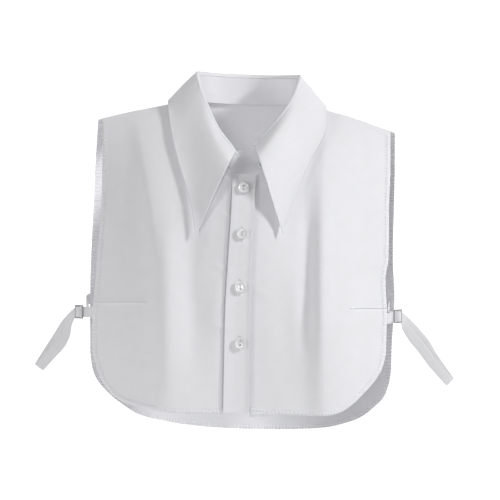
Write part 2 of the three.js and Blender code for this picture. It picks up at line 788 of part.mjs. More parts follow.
// One tape: from the front bib, through the slider and round the loop,
// then back through the slider and to the back bib.
function sideStrap(strap, sign) {
  const weave = weaveStations(strap, sign);
  const free = strap.loop.map((row) => {
    const { lean, bow, open } = row;
    return { place: placeOf(row), lean, bow, open };
  });
  const loop = smoothPath([weave[weave.length - 1], ...free], tapeMesh.loop);
  const middle = [...weave, ...loop.slice(1)];
  const fore = strand(middle, 1, sign);
  const aft = strand(middle, -1, sign).reverse();
  const [beforeTip, tip] = middle.slice(-2).map(({ place }) => place);
  const onward = tip.clone().sub(beforeTip).normalize();
  const turn = { place: tip.clone().addScaledVector(onward, tapeWall), wide: aft[0].wide };
  const front = leadStations(strap.front.map(placeOf), fore[0].place, tapeMesh.front);
  const towardsSlider = [...strap.back].reverse().map(placeOf);
  const end = aft[aft.length - 1].place;
  const back = leadStations([...towardsSlider, ...backTurn(aft, sign)], end, tapeMesh.back).reverse();
  return tapeAlong([...front, ...fore, turn, ...aft, ...back]);
}

// A ladder slider: two rails, and three bars that the tape passes between.
function sliderFrame(strap, sign) {
  const { along, out } = sliderAxes(sign);
  const height = tapeWidth + 2 * seamGap + 2 * sliderRail;
  const length = 2 * sliderPitch + sliderBar;
  const bars = [-1, 0, 1].map((place) => (
    new THREE.BoxGeometry(sliderBar, height, sliderThickness).translate(place * sliderPitch, 0, 0)
  ));
  const railAt = (height - sliderRail) / 2;
  const rails = [-1, 1].map((side) => (
    new THREE.BoxGeometry(length, sliderRail, sliderThickness).translate(0, side * railAt, 0)
  ));
  const pieces = [...bars, ...rails].map(toManifold);
  const body = fromManifold(pieces.reduce((whole, piece) => whole.add(piece)));
  body.applyMatrix4(new THREE.Matrix4().makeBasis(along, upright, out));
  return body.translate(strap.slider.x, strap.slider.y, strap.slider.z);
}

// The button near the stand's outer end, which the leaf hides.
function collarButton() {
  const { along, up } = collarButtonPlace;
  const step = 0.01;
  const across = standPoint(along + step, up).sub(standPoint(along, up));
  const upwards = standPoint(along, 1).sub(standPoint(along, 0));
  const outwards = upwards.cross(across).normalize();
  const place = standPoint(along, up).addScaledVector(outwards, collarWall / 2 + collarButtonShank);
  return buttonAt('collar_button', collarButtonDiameter, place, outwards);
}

const collar = new THREE.Group();
collar.name = 'detachable_collar';
const rightInnerEdge = (z) => placketEdge('right', z) - seamGap;
const leftInnerEdge = (z) => placketEdge('right', z) + placketLap;
collar.add(solid('front_bib_right', frontBib(wearersRight, rightInnerEdge, 0), fabric));
collar.add(solid('front_bib_left', frontBib(wearersLeft, leftInnerEdge, underPlacket), fabric));
collar.add(solid('back_bib', backPanel(), fabric));
collar.add(solid('placket', placketStrip(), fabric));
collar.add(solid('collar_stand', collarStand(), collarFabric));
collar.add(solid('collar_leaf', collarLeaf(), collarFabric));
placketButtons.forEach((row, i) => collar.add(placketButton(`button_${i + 1}`, row)));
collar.add(collarButton());
collar.add(solid('strap_right', sideStrap(strapOnRight, -1), tape));
collar.add(solid('strap_left', sideStrap(strapOnLeft, 1), tape));
collar.add(solid('slider_right', sliderFrame(strapOnRight, -1), sliderPlastic));
collar.add(solid('slider_left', sliderFrame(strapOnLeft, 1), sliderPlastic));

export default collar;
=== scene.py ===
"""The looks of a white detachable collar: cloth with folds, hems and stitching, buttons, straps, sliders.

Tables and forms are in millimetres and repeat the ones that the solids are made from. Meshes are in metres.
"""
import math

import bmesh
import bpy
import numpy as np
from mathutils import Matrix, Vector


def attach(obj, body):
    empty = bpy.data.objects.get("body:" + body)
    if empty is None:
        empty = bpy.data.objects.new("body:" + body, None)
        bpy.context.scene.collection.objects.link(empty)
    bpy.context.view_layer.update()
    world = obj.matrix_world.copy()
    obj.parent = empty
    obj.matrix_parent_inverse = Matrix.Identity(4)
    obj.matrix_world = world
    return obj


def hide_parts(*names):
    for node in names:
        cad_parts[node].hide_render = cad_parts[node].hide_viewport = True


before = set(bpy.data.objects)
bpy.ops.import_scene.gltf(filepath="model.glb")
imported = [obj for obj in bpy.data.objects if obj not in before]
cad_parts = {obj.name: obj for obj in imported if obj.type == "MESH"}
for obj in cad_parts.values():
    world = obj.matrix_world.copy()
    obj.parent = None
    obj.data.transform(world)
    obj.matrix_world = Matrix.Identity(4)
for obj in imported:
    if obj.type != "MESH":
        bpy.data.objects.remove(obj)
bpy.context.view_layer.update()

MM = 0.001

# Walls of the shown cloth, thinner than the solids
BIB_WALL = 0.55
HEM_WALL = 1.15
PLACKET_WALL = 1.1
STAND_WALL = 1.3
LEAF_WALL = 1.1
TAPE_WALL = 0.7

# Seams: how far out the neck points are, the gap at the shoulders, and the hem's stitching in from its edge
NECK_POINT = 61.0
SHOULDER_GAP = 0.6
HEM_STITCH = 4.1

# The left bib lies this much deeper than the right one, wherever the form is deeper than the reach
UNDER_PLACKET = 1.9
LAYER_REACH = 40.0

# The front draws in at the neck seam, and less with the distance below it
NECK_TUCK = 2.6
NECK_TUCK_REACH = 13.0

FORM_SQUARENESS = 3
CREASE_FADE_IN, CREASE_FADE_OUT = 0.3, 0.4
SAMPLE_STEP = 0.8


class Curve:
    """A smooth curve through a table: the value of any column at a place in the first one."""

    def __init__(self, columns, rows):
        self.names = columns.split()
        data = np.array(rows, float)
        self.data = data[np.argsort(data[:, 0])]

    def __call__(self, column, at):
        key = self.data[:, 0]
        value = self.data[:, self.names.index(column)]
        at = np.clip(np.asarray(at, float), key[0], key[-1])
        i = np.clip(np.searchsorted(key, at, side="right") - 1, 0, len(key) - 2)
        places = np.arange(len(key))
        before = np.maximum(places - 1, 0)
        after = np.minimum(places + 1, len(key) - 1)
        slope = (value[after] - value[before]) / (key[after] - key[before])
        span = key[i + 1] - key[i]
        t = (at - key[i]) / span
        rise = value[i + 1] - value[i]
        start_bend = slope[i] * span - rise
        end_bend = rise - slope[i + 1] * span
        return value[i] + rise * t + t * (1 - t) * (start_bend * (1 - t) + end_bend * t)

    def point(self, columns, at):
        """Several columns together, in the last axis."""
        return np.stack([self(column, at) for column in columns.split()], -1)


def spread_curve(columns, rows):
    """A table without a key of its own, spread evenly from 0 to 1."""
    share = np.linspace(0, 1, len(rows))
    return Curve("at " + columns, [(s, *row) for s, row in zip(share, rows)])


# Form of the worn cloth
SHOULDER_RIDGE = Curve("x z", [
    (-158, -14), (-149, -11.5), (-118, -4), (-97, 0), (-78, 4), (-61, 9), (-40, 21), (-18, 37), (0, 42),
    (18, 37), (40, 20), (61, 5), (79, -3), (97, -8), (120, -16), (145, -25), (158, -29),
])
CHEST_FORM = [
    (0, 0, 0), (4, 12, 6), (12, 25, 13), (34, 45, 24), (66, 65, 37), (100, 78, 46),
    (140, 92, 54), (200, 106, 61), (250, 108, 63), (300, 105, 63), (360, 101, 62),
]
BACK_FORM = [
    (0, 0, 0), (1, 14, 3), (4, 29, 8), (17, 55, 16), (36, 65, 22),
    (80, 76, 30), (150, 86, 35), (250, 91, 38), (380, 92, 38),
]


def rooted(rows):
    """A form's table by the root of the drop below the ridge, so that it leaves the ridge upright."""
    return Curve("root centre edge", [(math.sqrt(drop), centre, edge) for drop, centre, edge in rows])


CHEST, BACK = rooted(CHEST_FORM), rooted(BACK_FORM)

RIGHT_SIDE = Curve("z x", [
    (0, -146), (-23, -145.7), (-67, -144.8), (-92, -145.3), (-150, -148.9), (-206, -153.2), (-232, -153.2),
    (-300, -152.2),
])
LEFT_SIDE = Curve("z x", [
    (0, 142), (-35, 140.6), (-63, 139.9), (-97, 138.1), (-151, 136.8), (-168, 134), (-204, 135.2),
    (-236, 134.2), (-300, 133.6),
])
RIGHT_HEM = Curve("x z", [
    (-154, -234), (-152.6, -241), (-148.5, -257), (-142.5, -270), (-132, -282), (-120, -288.5), (-98, -293.3),
    (-74, -296.4), (-28, -297.6), (10, -297),
])
LEFT_HEM = Curve("x z", [
    (-26, -295), (0, -296), (31, -298.5), (67, -299.7), (82, -298.7), (96, -292.7), (114, -277.3),
    (128, -260.7), (133, -247), (134.4, -238),
])
RIGHT_NECK = Curve("x z", [
    (-61, 8.6), (-59, 2), (-55, -9), (-49, -23), (-36, -45), (-20, -60), (-9, -66.5), (8, -70),
])
LEFT_NECK = Curve("x z", [
    (-26, -63), (-12, -66.5), (2, -65), (18, -57), (32, -43), (47, -23), (55, -9), (59, 0), (61, 4.6),
])
BACK_RIGHT_SIDE = Curve("z x", [
    (0, -149.5), (-46, -153.5), (-92, -156.1), (-153, -159.4), (-191, -160.5), (-243, -160.5), (-330, -159.5),
])
BACK_LEFT_SIDE = Curve("z x", [
    (0, 145.5), (-67, 146.5), (-153, 145.2), (-192, 147), (-240, 144.4), (-262, 144), (-330, 143.5),
])
BACK_HEM = Curve("x z", [
    (-160, -249.4), (-158.3, -262.4), (-154.5, -273.4), (-144, -287.4), (-130, -300.4), (-112, -312.7),
    (-84, -320.6), (-51, -325.6), (-20, -327.9), (25, -329.5), (57, -328.3), (80, -326.2), (98, -321.2),
    (115, -313.7), (128, -302.7), (137, -292), (142, -277.4), (144, -263.4),
])
BACK_NECK = Curve("x z", [(-61, 8.6), (-54, 9), (-31, 8), (0, 6), (31, 6), (54, 5), (61, 4.6)])

# Long folds over the bust
FOLDS_RIGHT = Curve("z x height outer inner", [
    (0, -110, 0, 10, 20), (-40, -104, 3.5, 10, 22), (-120, -91, 8, 12, 28), (-190, -86, 9.5, 14, 32),
    (-270, -86, 8, 15, 32), (-320, -86, 6, 16, 32),
])
FOLDS_LEFT = Curve("z x height outer inner", [
    (0, 80, 0, 24, 10), (-50, 76, 4.5, 26, 11), (-110, 72, 9, 30, 13), (-190, 71, 10.5, 32, 14),
    (-270, 74, 8.5, 32, 15), (-320, 76, 6.5, 32, 16),
])

# Soft creases, each from one point to another: a negative height is a hollow
CREASES = [
    # x, z, to x, to z, height, width
    (-57, -165, -42, -255, -1.6, 15),
    (-80, -95, -78, -300, 2.3, 9),
    (-57, -90, -55, -290, -2.3, 10),
    (-101, -110, -98, -290, -1.2, 8),
    (74, -60, 71, -270, 2.7, 8),
    (57, -75, 56, -260, -3.2, 8),
    (-36, -70, -40, -150, 0.9, 7),
    (128, -140, 100, -265, -1.5, 12),
    (112, -60, 106, -190, -1.0, 13),
    (-128, -60, -132, -200, 1.0, 10),
    (-30, -150, -33, -280, 0.9, 9),
    (30, -150, 38, -285, -1.3, 11),
    (-8, -112, -40, -98, 0.35, 3.2),
    (-8, -134, -46, -152, 0.4, 3.4),
    (-10, -164, -44, -150, 0.4, 3.2),
    (-10, -186, -52, -206, 0.45, 3.6),
    (-10, -218, -48, -206, 0.4, 3.4),
    (-10, -240, -46, -262, 0.35, 3.6),
    (4, -176, 30, -192, 0.4, 3.4),
    (4, -228, 34, -216, 0.4, 3.6),
]

# Collar stand, top edge and base, from the buttonhole end round the back
STAND = spread_curve("x y z base_x base_y base_z", [
    (20, -63.6, -56.5, 21, -75, -69),
    (-5.5, -64.4, -51.3, -6, -76, -67.2),
    (-16.4, -60.9, -39.6, -19.5, -72, -59.5),
    (-29.4, -50.7, -22.1, -35, -60, -43),
    (-40, -35.1, 0.4, -48, -42, -21.5),
    (-46.8, -18.5, 19.4, -56, -22, -4),
    (-49.2, -1.9, 31.4, -58.6, -1, 6),
    (-45.4, 25.3, 33.4, -52.4, 26.6, 7),
    (-27, 46.8, 32.4, -31, 52.9, 6),
    (0, 55.6, 31.4, 0, 62.6, 4.5),
    (27, 46.8, 30.4, 31, 52.9, 4.5),
    (45.4, 25.3, 29.9, 53, 27.4, 3.5),
    (49.2, -1.9, 28.4, 58.6, -1, 2),
    (45.4, -19.5, 17.4, 55.5, -22, -6),
    (38.2, -35.1, 1.4, 46.5, -42, -21.5),
    (24.7, -48.8, -17.6, 31.5, -59, -41),
    (13.2, -56, -30.6, 18, -63, -53.5),
    (1, -58.8, -42.1, 2, -64.4, -62.5),
    (-10.6, -58.2, -43.6, -12, -65.5, -64),
])
LEAF = Curve("along x y z", [
    (0.078, -51.8, -93, -126.5), (0.12, -53.5, -88.5, -113), (0.17, -57.5, -79, -92),
    (0.23, -69.2, -60.5, -54),
    (0.29, -76.5, -39.5, -24), (0.34, -80.8, -6, 5.4), (0.39, -76, 32, 3), (0.44, -52, 60, -8),
    (0.52, 0, 74, -12), (0.6, 52, 60, -12), (0.65, 75, 32, -3.5), (0.7, 77, -6, 0),
    (0.75, 74, -38.5, -26), (0.8, 60, -61.5, -52), (0.86, 47, -78, -82), (0.9, 39, -88.5, -104),
    (0.935, 32.9, -97, -124.9),
])
LEAF_ROLL = 2.0
LEAF_LIFT = 2.6
LEAF_SOFTNESS = 5.0
LEAF_RISE_START, LEAF_RISE_END = 0.1, 2.1
LEAF_BULGE = 1.6
LEAF_SPRING_LEFT, LEAF_SPRING_RIGHT = 16, 11
LEAF_START, LEAF_END = LEAF.data[0, 0], LEAF.data[-1, 0]
# Where the leaf's front parts begin, along the stand
RIGHT_FRONT_FROM, LEFT_FRONT_FROM = 0.27, 0.72

STAND_HEIGHT = 29
STAND_LENGTH = 372

PLACKET = Curve("z right left", [
    (-66, -15.9, 7.1), (-96, -16.8, 5.6), (-160, -20.8, 2.4), (-200, -23, 1.4), (-296.6, -25, 0.2),
])
PLACKET_TOP, PLACKET_BOTTOM = -66.0, -296.6
PLACKET_GAP = 1.4
PLACKET_LAP = 3.2
PLACKET_PROUD = 0.4
BUTTONS = [(-5, -80), (-6.2, -124), (-8.1, -175), (-8.4, -229)]


def smooth(t):
    t = np.clip(t, 0, 1)
    return t * t * (3 - 2 * t)


def mix(a, b, t):
    return a + (b - a) * t


def towards_end(t):
    return np.sin(t * np.pi / 2)


def bell(distance, width):
    return np.exp(-((distance / width) ** 2))


def form_depth(form, x, z, half_width):
    drop = np.maximum(SHOULDER_RIDGE("z", x) - z, 0)
    root = np.sqrt(drop)
    across = np.minimum(np.abs(x) / half_width, 1)
    return mix(form("centre", root), form("edge", root), across**FORM_SQUARENESS)


def fold_height(folds, x, z):
    crest = folds("x", z)
    outwards = np.abs(x) > np.abs(crest)
    width = np.where(outwards, folds("outer", z), folds("inner", z))
    return folds("height", z) * bell(x - crest, width)


def crease_height(x, z):
    """Soft creases: each fades towards its two ends and to its sides."""
    total = 0.0
    for x0, z0, x1, z1, height, width in CREASES:
        run = math.hypot(x1 - x0, z1 - z0)
        along = ((x - x0) * (x1 - x0) + (z - z0) * (z1 - z0)) / run
        off = ((x - x0) * (z1 - z0) - (z - z0) * (x1 - x0)) / run
        fade = smooth(along / (CREASE_FADE_IN * run)) * smooth((run - along) / (CREASE_FADE_OUT * run))
        total = total + height * fade * bell(off, width)
    return total


def chest_side(x, z):
    return np.where(x < 0, -RIGHT_SIDE("x", z), LEFT_SIDE("x", z))


def ruffle(x, z, side_x):
    """The free side edge of a bib waves a little, below the shoulder."""
    height, reach, start, fade = 0.55, 13, -40, 40
    inwards = np.maximum(side_x - np.abs(x), 0)
    slow = np.sin(z / 11 + np.sin(z / 17) * 1.3 + np.sign(x))
    quick = 0.5 * np.sin(z / 6.3)
    return height * (slow + quick) * bell(inwards, reach) * smooth((start - z) / fade)


def chest_depth(x, z):
    """How far the middle of a front bib stands before the shoulder plane."""
    side = chest_side(x, z)
    depth = form_depth(CHEST, x, z, side) + fold_height(FOLDS_RIGHT, x, z) + fold_height(FOLDS_LEFT, x, z)
    return depth + crease_height(x, z) + ruffle(x, z, side)


def back_depth(x, z):
    side = np.where(x < 0, -BACK_RIGHT_SIDE("x", z), BACK_LEFT_SIDE("x", z))
    return form_depth(BACK, x, z, side) + back_folds(x, z) + ruffle(x, z, side)


def back_folds(x, z):
    """Shallow folds that hang from the shoulder blades."""
    start, fade = -30, 120
    broad = 1.6 * np.sin(x / 21 + 0.5 * np.sin(z / 90))
    narrow = 0.8 * np.sin(x / 9.5 + z / 140 + 1.7)
    return smooth((start - z) / fade) * (broad + narrow)


def neck_tuck(x, z):
    """The front draws in to the collar stand just below its neck seam."""
    lap_start, lap_width, shoulder, fade = 7, 14, -5, 20
    seam = mix(RIGHT_NECK("z", x), LEFT_NECK("z", x), smooth((x - lap_start) / lap_width))
    near = smooth((z - seam + NECK_TUCK_REACH) / NECK_TUCK_REACH)
    return NECK_TUCK * near * smooth((shoulder - z) / fade)


def front_point(x, z, layer=0.0):
    depth = chest_depth(x, z)
    behind = layer * np.minimum(depth / LAYER_REACH, 1) + neck_tuck(x, z)
    return np.stack([x, behind - depth - SHOULDER_GAP / 2, z], -1)


def back_point(x, z):
    return np.stack([x, back_depth(x, z) + SHOULDER_GAP / 2, z], -1)


# Cloth meshes
CLOTH_RIM_ANGLE = 48


def unit(vectors):
    return vectors / np.maximum(np.linalg.norm(vectors, axis=-1, keepdims=True), 1e-12)


def grid_normals(middle):
    return unit(np.cross(np.gradient(middle, axis=0), np.gradient(middle, axis=1)))


def lengths_along(points, axis=0):
    """The distance of each point from the first one, along a line or along each line of a grid."""
    steps = np.linalg.norm(np.diff(points, axis=axis), axis=-1)
    start = np.zeros_like(steps.take([0], axis=axis))
    return np.concatenate([start, np.cumsum(steps, axis=axis)], axis=axis)


def shade_smooth(mesh):
    mesh.polygons.foreach_set("use_smooth", np.ones(len(mesh.polygons), bool))


def linked(name, mesh):
    """A new object of the scene."""
    piece = bpy.data.objects.new(name, mesh)
    bpy.context.scene.collection.objects.link(piece)
    return piece


def riding(piece):
    """The same piece, fixed to the body."""
    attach(piece, "root")
    return piece


def set_uv(mesh, corner_points, uv):
    """Gives each corner of the faces the place on the cloth of its point, in metres."""
    layer = mesh.uv_layers.new(name="cloth")
    layer.data.foreach_set("uv", (np.asarray(uv, float)[corner_points] * MM).astype(np.float32).ravel())


def mesh_object(name, points, quads, material, uv):
    """A smooth-shaded object from points in millimetres, with sharp rims, riding on the body."""
    mesh = bpy.data.meshes.new(name)
    quads = np.asarray(quads, np.int32)
    mesh.vertices.add(len(points))
    mesh.vertices.foreach_set("co", (np.asarray(points, float) * MM).astype(np.float32).ravel())
    corners = quads.shape[1]
    mesh.loops.add(quads.size)
    mesh.loops.foreach_set("vertex_index", quads.ravel())
    mesh.polygons.add(len(quads))
    mesh.polygons.foreach_set("loop_start", np.arange(len(quads), dtype=np.int32) * corners)
    mesh.update(calc_edges=True)
    shade_smooth(mesh)
    mesh.set_sharp_from_angle(angle=math.radians(CLOTH_RIM_ANGLE))
    set_uv(mesh, quads.ravel(), uv)
    mesh.validate()
    mesh.materials.append(material)
    return riding(linked(name, mesh))


def grid_quads(rows, columns, start, flip):
    index = start + np.arange(rows * columns).reshape(rows, columns)
    a, b, c, d = index[:-1, :-1], index[1:, :-1], index[1:, 1:], index[:-1, 1:]
    order = (a, d, c, b) if flip else (a, b, c, d)
    return np.stack(order, -1).reshape(-1, 4)


def rim_quads(rows, columns):
    """The four edges of a wall, between its outer and its inner grid."""
    index = np.arange(rows * columns).reshape(rows, columns)
    loop = np.concatenate([index[0, :-1], index[:-1, -1], index[-1, :0:-1], index[:0:-1, 0]])
    following = np.roll(loop, -1)
    inner = rows * columns
    return np.stack([loop, following, following + inner, loop + inner], -1)


def cloth(name, middle, wall, material, uv, relief=0.0, inner_relief=0.0):
    """A closed wall of cloth round the grid middle[row, column], outer face first. Reliefs lift its faces."""
    rows, columns = middle.shape[:2]
    normal = grid_normals(middle)
    to_outer = np.broadcast_to(wall / 2 + relief, (rows, columns))
    to_inner = np.broadcast_to(wall / 2 + inner_relief, (rows, columns))
    outer = middle + normal * to_outer[..., None]
    inner = middle - normal * to_inner[..., None]
    points = np.concatenate([outer.reshape(-1, 3), inner.reshape(-1, 3)])
    quads = np.concatenate([
        grid_quads(rows, columns, 0, flip=False),
        grid_quads(rows, columns, rows * columns, flip=True),
        rim_quads(rows, columns)[:, ::-1],
    ])
    both = np.concatenate([uv.reshape(-1, 2)] * 2)
    return mesh_object(name, points, quads, material, both)


# Materials
def new_material(name, color, roughness, **inputs):
    material = bpy.data.materials.new(name)
    material.use_nodes = True
    shader = material.node_tree.nodes["Principled BSDF"]
    shader.inputs["Base Color"].default_value = (*color, 1)
    shader.inputs["Roughness"].default_value = roughness
    for socket, value in inputs.items():
        shader.inputs[socket.replace("_", " ")].default_value = value
    return material, material.node_tree, shader


def add_node(tree, kind, **settings):
    node = tree.nodes.new(kind)
    for setting, value in settings.items():
        if setting in node.bl_rna.properties:
            setattr(node, setting, value)
        else:
            node.inputs[setting.replace("_", " ")].default_value = value
    return node


def add_math(tree, operation, *values):
    node = add_node(tree, "ShaderNodeMath", operation=operation)
    for socket, value in zip(node.inputs, values):
        tree.links.new(value, socket)
    return node.outputs[0]


def add_bands(tree, place, direction, pitch, **settings):
    """Threads or ribs: even bands at a pitch in metres."""
    wave = add_node(
        tree, "ShaderNodeTexWave", wave_type="BANDS", bands_direction=direction,
        Scale=math.pi / (20 * pitch), **settings,
    )
    tree.links.new(place, wave.inputs["Vector"])
    return wave.outputs["Fac"]


def add_noise(tree, place, **settings):
    noise = add_node(tree, "ShaderNodeTexNoise", **settings)
    tree.links.new(place, noise.inputs["Vector"])
    return noise.outputs["Fac"]


def add_bump(tree, height, strength, distance, below=None):
    """A bump, on top of another one where that is given."""
    bump = add_node(tree, "ShaderNodeBump", Strength=strength, Distance=distance)
    tree.links.new(height, bump.inputs["Height"])
    if below is not None:
        tree.links.new(below, bump.inputs["Normal"])
    return bump.outputs["Normal"]


def mottle(tree, shader, pattern, color, dark, light, steps):
    """Colours a material between a dark and a light share of its colour by a pattern."""
    ramp = add_node(tree, "ShaderNodeValToRGB")
    for stop, share, place in zip(ramp.color_ramp.elements, (dark, light), steps):
        stop.color = (*(min(c * share, 1) for c in color), 1)
        stop.position = place
    tree.links.new(pattern, ramp.inputs["Fac"])
    tree.links.new(ramp.outputs["Color"], shader.inputs["Base Color"])


def woven(name, color, thread, coarse):
    """Plain-woven cloth: warp and weft threads in the bump, slubs, and a slight mottle in the colour."""
    material, tree, shader = new_material(
        name, color, 0.86, Sheen_Weight=0.12, Sheen_Roughness=0.6, Specular_IOR_Level=0.25
    )
    place = add_node(tree, "ShaderNodeUVMap", uv_map="cloth").outputs["UV"]
    threads = [
        add_bands(tree, place, direction, thread * MM, Distortion=1.2, Detail=1.0) for direction in ("X", "Y")
    ]
    slub = add_noise(tree, place, Scale=420.0, Detail=3.0, Roughness=0.6)
    cloud = add_noise(tree, place, Scale=90.0, Detail=4.0)
    fine = add_bump(tree, add_math(tree, "MULTIPLY", *threads), 0.16, 0.12 * MM)
    rough = add_bump(tree, slub, coarse, 0.4 * MM, below=fine)
    tree.links.new(rough, shader.inputs["Normal"])
    mottle(tree, shader, cloud, color, dark=0.985, light=1.01, steps=(0.3, 0.7))
    return material


def ribbed_tape(name, color):
    """Narrow tape with fine ribs across its width."""
    material, tree, shader = new_material(name, color, 0.74, Sheen_Weight=0.15, Specular_IOR_Level=0.35)
    place = add_node(tree, "ShaderNodeUVMap", uv_map="cloth").outputs["UV"]
    ribs = add_bands(tree, place, "X", 0.9 * MM)
    edges = add_bands(tree, place, "Y", 0.6 * MM)
    bump = add_bump(tree, add_math(tree, "ADD", ribs, edges), 0.4, 0.15 * MM)
    tree.links.new(bump, shader.inputs["Normal"])
    return material


def moulded(name, color, roughness, grain):
    """Moulded plastic: glossy, with the faint unevenness of a polished surface."""
    material, tree, shader = new_material(name, color, roughness, Coat_Weight=0.25, Specular_IOR_Level=0.5)
    place = add_node(tree, "ShaderNodeTexCoord").outputs["Object"]
    noise = add_noise(tree, place, Scale=grain, Detail=2.0)
    tree.links.new(add_bump(tree, noise, 0.08, 0.3 * MM), shader.inputs["Normal"])
    mottle(tree, shader, noise, color, dark=0.93, light=1.0, steps=(0.0, 1.0))
    return material


WHITE = (0.80, 0.80, 0.825)
poplin = woven("poplin", WHITE, thread=0.42, coarse=0.12)
collar_cloth = woven("collar poplin", (0.81, 0.81, 0.835), thread=0.42, coarse=0.08)
thread_look = woven("sewing thread", (0.83, 0.83, 0.85), thread=0.2, coarse=0.1)
tape_look = ribbed_tape("woven tape", (0.77, 0.77, 0.79))
button_look = moulded("button plastic", (0.82, 0.82, 0.83), 0.28, 160.0)
# The sliders' grey is partly their plastic's own colour and partly painted shade: it is darkened to stand in
# for the shade inside their slots.
slider_plastic_and_painted_shade = moulded("slider plastic", (0.36, 0.36, 0.375), 0.26, 220.0)


# Bibs
FRONT_ROWS, FRONT_INNER, FRONT_OUTER = 281, 44, 104
BACK_ROWS, BACK_MIDDLE, BACK_OUTER = 181, 96, 70
# Heights at which the columns of a bib are spread over its width, for its top edge and for its hem
FRONT_NECK_AT, FRONT_HEM_AT, BACK_HEM_AT = -60.0, -260.0, -300.0


def outer_shares(count):
    """Columns from the neck point at 1 to the side edge at 2, closer together at the side."""
    even = np.linspace(0, 1, count + 1)
    return 1 + mix(even, towards_end(even), 0.6)


def bib_shares(inner_count, outer_count):
    """Columns of a front bib: 0 to 1 from its inner edge to the neck point, 1 to 2 on to its side edge."""
    inner = towards_end(np.linspace(0, 1, inner_count + 1))[:-1]
    return np.concatenate([inner, outer_shares(outer_count)])


def heights_between(top, bottom, count, dart):
    """Heights down a column, closer together near the shoulder and at the dart."""
    fine = np.linspace(top, bottom, 1200)
    at_shoulder = 1.5 * np.exp((fine - top) / 25)
    at_dart = 5 * bell(fine - dart, 4.5)
    density = 1 + at_shoulder + at_dart
    so_far = np.concatenate([[0], np.cumsum((density[1:] + density[:-1]) / 2)])
    return np.interp(np.linspace(0, so_far[-1], count), so_far, fine)


def front_bib(name, sign, inner_edge, side, neck, hem, layer, dart):
    shares = bib_shares(FRONT_INNER, FRONT_OUTER)

    def width_at(share, z):
        inner = mix(inner_edge(z), sign * NECK_POINT, np.minimum(share, 1))
        outer = mix(sign * NECK_POINT, side("x", z), np.maximum(share - 1, 0))
        return np.where(share < 1, inner, outer)

    at_neck = neck("z", width_at(shares, FRONT_NECK_AT))
    top = np.where(shares < 1, at_neck, SHOULDER_RIDGE("z", width_at(shares, 0.0)))
    bottom = hem("z", width_at(shares, FRONT_HEM_AT))
    z = np.stack([heights_between(a, b, FRONT_ROWS, dart) for a, b in zip(top, bottom)], -1)
    x = width_at(shares[None, :], z)
    middle = front_point(x, z, layer)
    if sign > 0:
        middle, x, z = middle[:, ::-1], x[:, ::-1], z[:, ::-1]
    return cloth(name, middle, BIB_WALL, poplin, np.stack([x, z], -1), relief=dart_relief(x, z))


# Darts, each from the side edge (x, z) to its inner end (x, z)
DARTS = [(-152, -191.5, -97, -190.5), (136, -197.5, 97, -196)]
DART_PUFF, DART_PUFF_REACH = 1.3, 4.5
DART_DROP, DART_DROP_REACH = 1.0, 1.1
DART_GROOVE, DART_GROOVE_WIDTH = 1.5, 0.7
DART_DIMPLE = 0.5


def dart_relief(x, z):
    """A seam line with a slight step, from each side edge to the bust, and a dimple at its inner end."""
    total = 0.0
    for x0, z0, x1, z1 in DARTS:
        share = (x - x0) / (x1 - x0)
        off = z - mix(z0, z1, share)
        near = (share > -0.2) * smooth((1.04 - share) * 7)
        above = DART_PUFF * np.exp(-np.maximum(off, 0) / DART_PUFF_REACH)
        below = -DART_DROP * np.exp(np.minimum(off, 0) / DART_DROP_REACH)
        step = mix(below, above, smooth(off / 0.5 + 0.5))
        groove = DART_GROOVE * bell(off, DART_GROOVE_WIDTH)
        dimple = DART_DIMPLE * bell(x - x1, 7) * bell(off, 6)
        total = total + near * (step - groove) - dimple
    return total


def right_inner_edge(z):
    return PLACKET("right", z) - PLACKET_GAP * smooth((PLACKET_TOP - z) / 25)


def left_inner_edge(z):
    return PLACKET("right", z) - PLACKET_LAP


front_right = front_bib(
    "front_bib_right_cloth", -1, right_inner_edge, RIGHT_SIDE, RIGHT_NECK, RIGHT_HEM, 0.0, dart=-191
)
front_left = front_bib(
    "front_bib_left_cloth", 1, left_inner_edge, LEFT_SIDE, LEFT_NECK, LEFT_HEM, UNDER_PLACKET, dart=-197
)


def back_bib():
    def width_at(share, z):
        right = mix(BACK_RIGHT_SIDE("x", z), -NECK_POINT, np.clip(share, 0, 1))
        middle = mix(-NECK_POINT, NECK_POINT, np.clip(share - 1, 0, 1))
        left = mix(NECK_POINT, BACK_LEFT_SIDE("x", z), np.clip(share - 2, 0, 1))
        return np.where(share <= 1, right, np.where(share <= 2, middle, left))

    outer = outer_shares(BACK_OUTER)
    middle_shares = (1 - np.cos(np.linspace(0, 1, BACK_MIDDLE + 1) * np.pi)) / 2
    shares = np.concatenate([2 - outer[::-1], 1 + middle_shares[1:-1], 1 + outer])
    at_top = width_at(shares, 0.0)
    on_neck = (shares > 1) & (shares < 2)
    top = np.where(on_neck, BACK_NECK("z", at_top), SHOULDER_RIDGE("z", at_top))
    bottom = BACK_HEM("z", width_at(shares, BACK_HEM_AT))
    down = np.linspace(0, 1, BACK_ROWS)[:, None] ** 1.35
    z = mix(top[None, :], bottom[None, :], down)
    x = width_at(shares[None, :], z)
    middle = back_point(x, z)[:, ::-1]
    uv = np.stack([x, z], -1)[:, ::-1]
    return cloth("back_bib_cloth", middle, BIB_WALL, poplin, uv)


back = back_bib()


# Hems
SIDE_POINTS, HEM_POINTS = 120, 400
GATHER_PITCH, GATHER_KNOTS = 3.3, 6.0


def sampled(points, lengths, at):
    """The places on a line at some distances along it."""
    return np.stack([np.interp(at, lengths, column) for column in points.T], -1)


def arc_spaced(points, step):
    """Points at even steps along a line."""
    lengths = lengths_along(points)
    count = max(int(lengths[-1] / step), 2)
    return sampled(points, lengths, np.linspace(0, lengths[-1], count + 1))


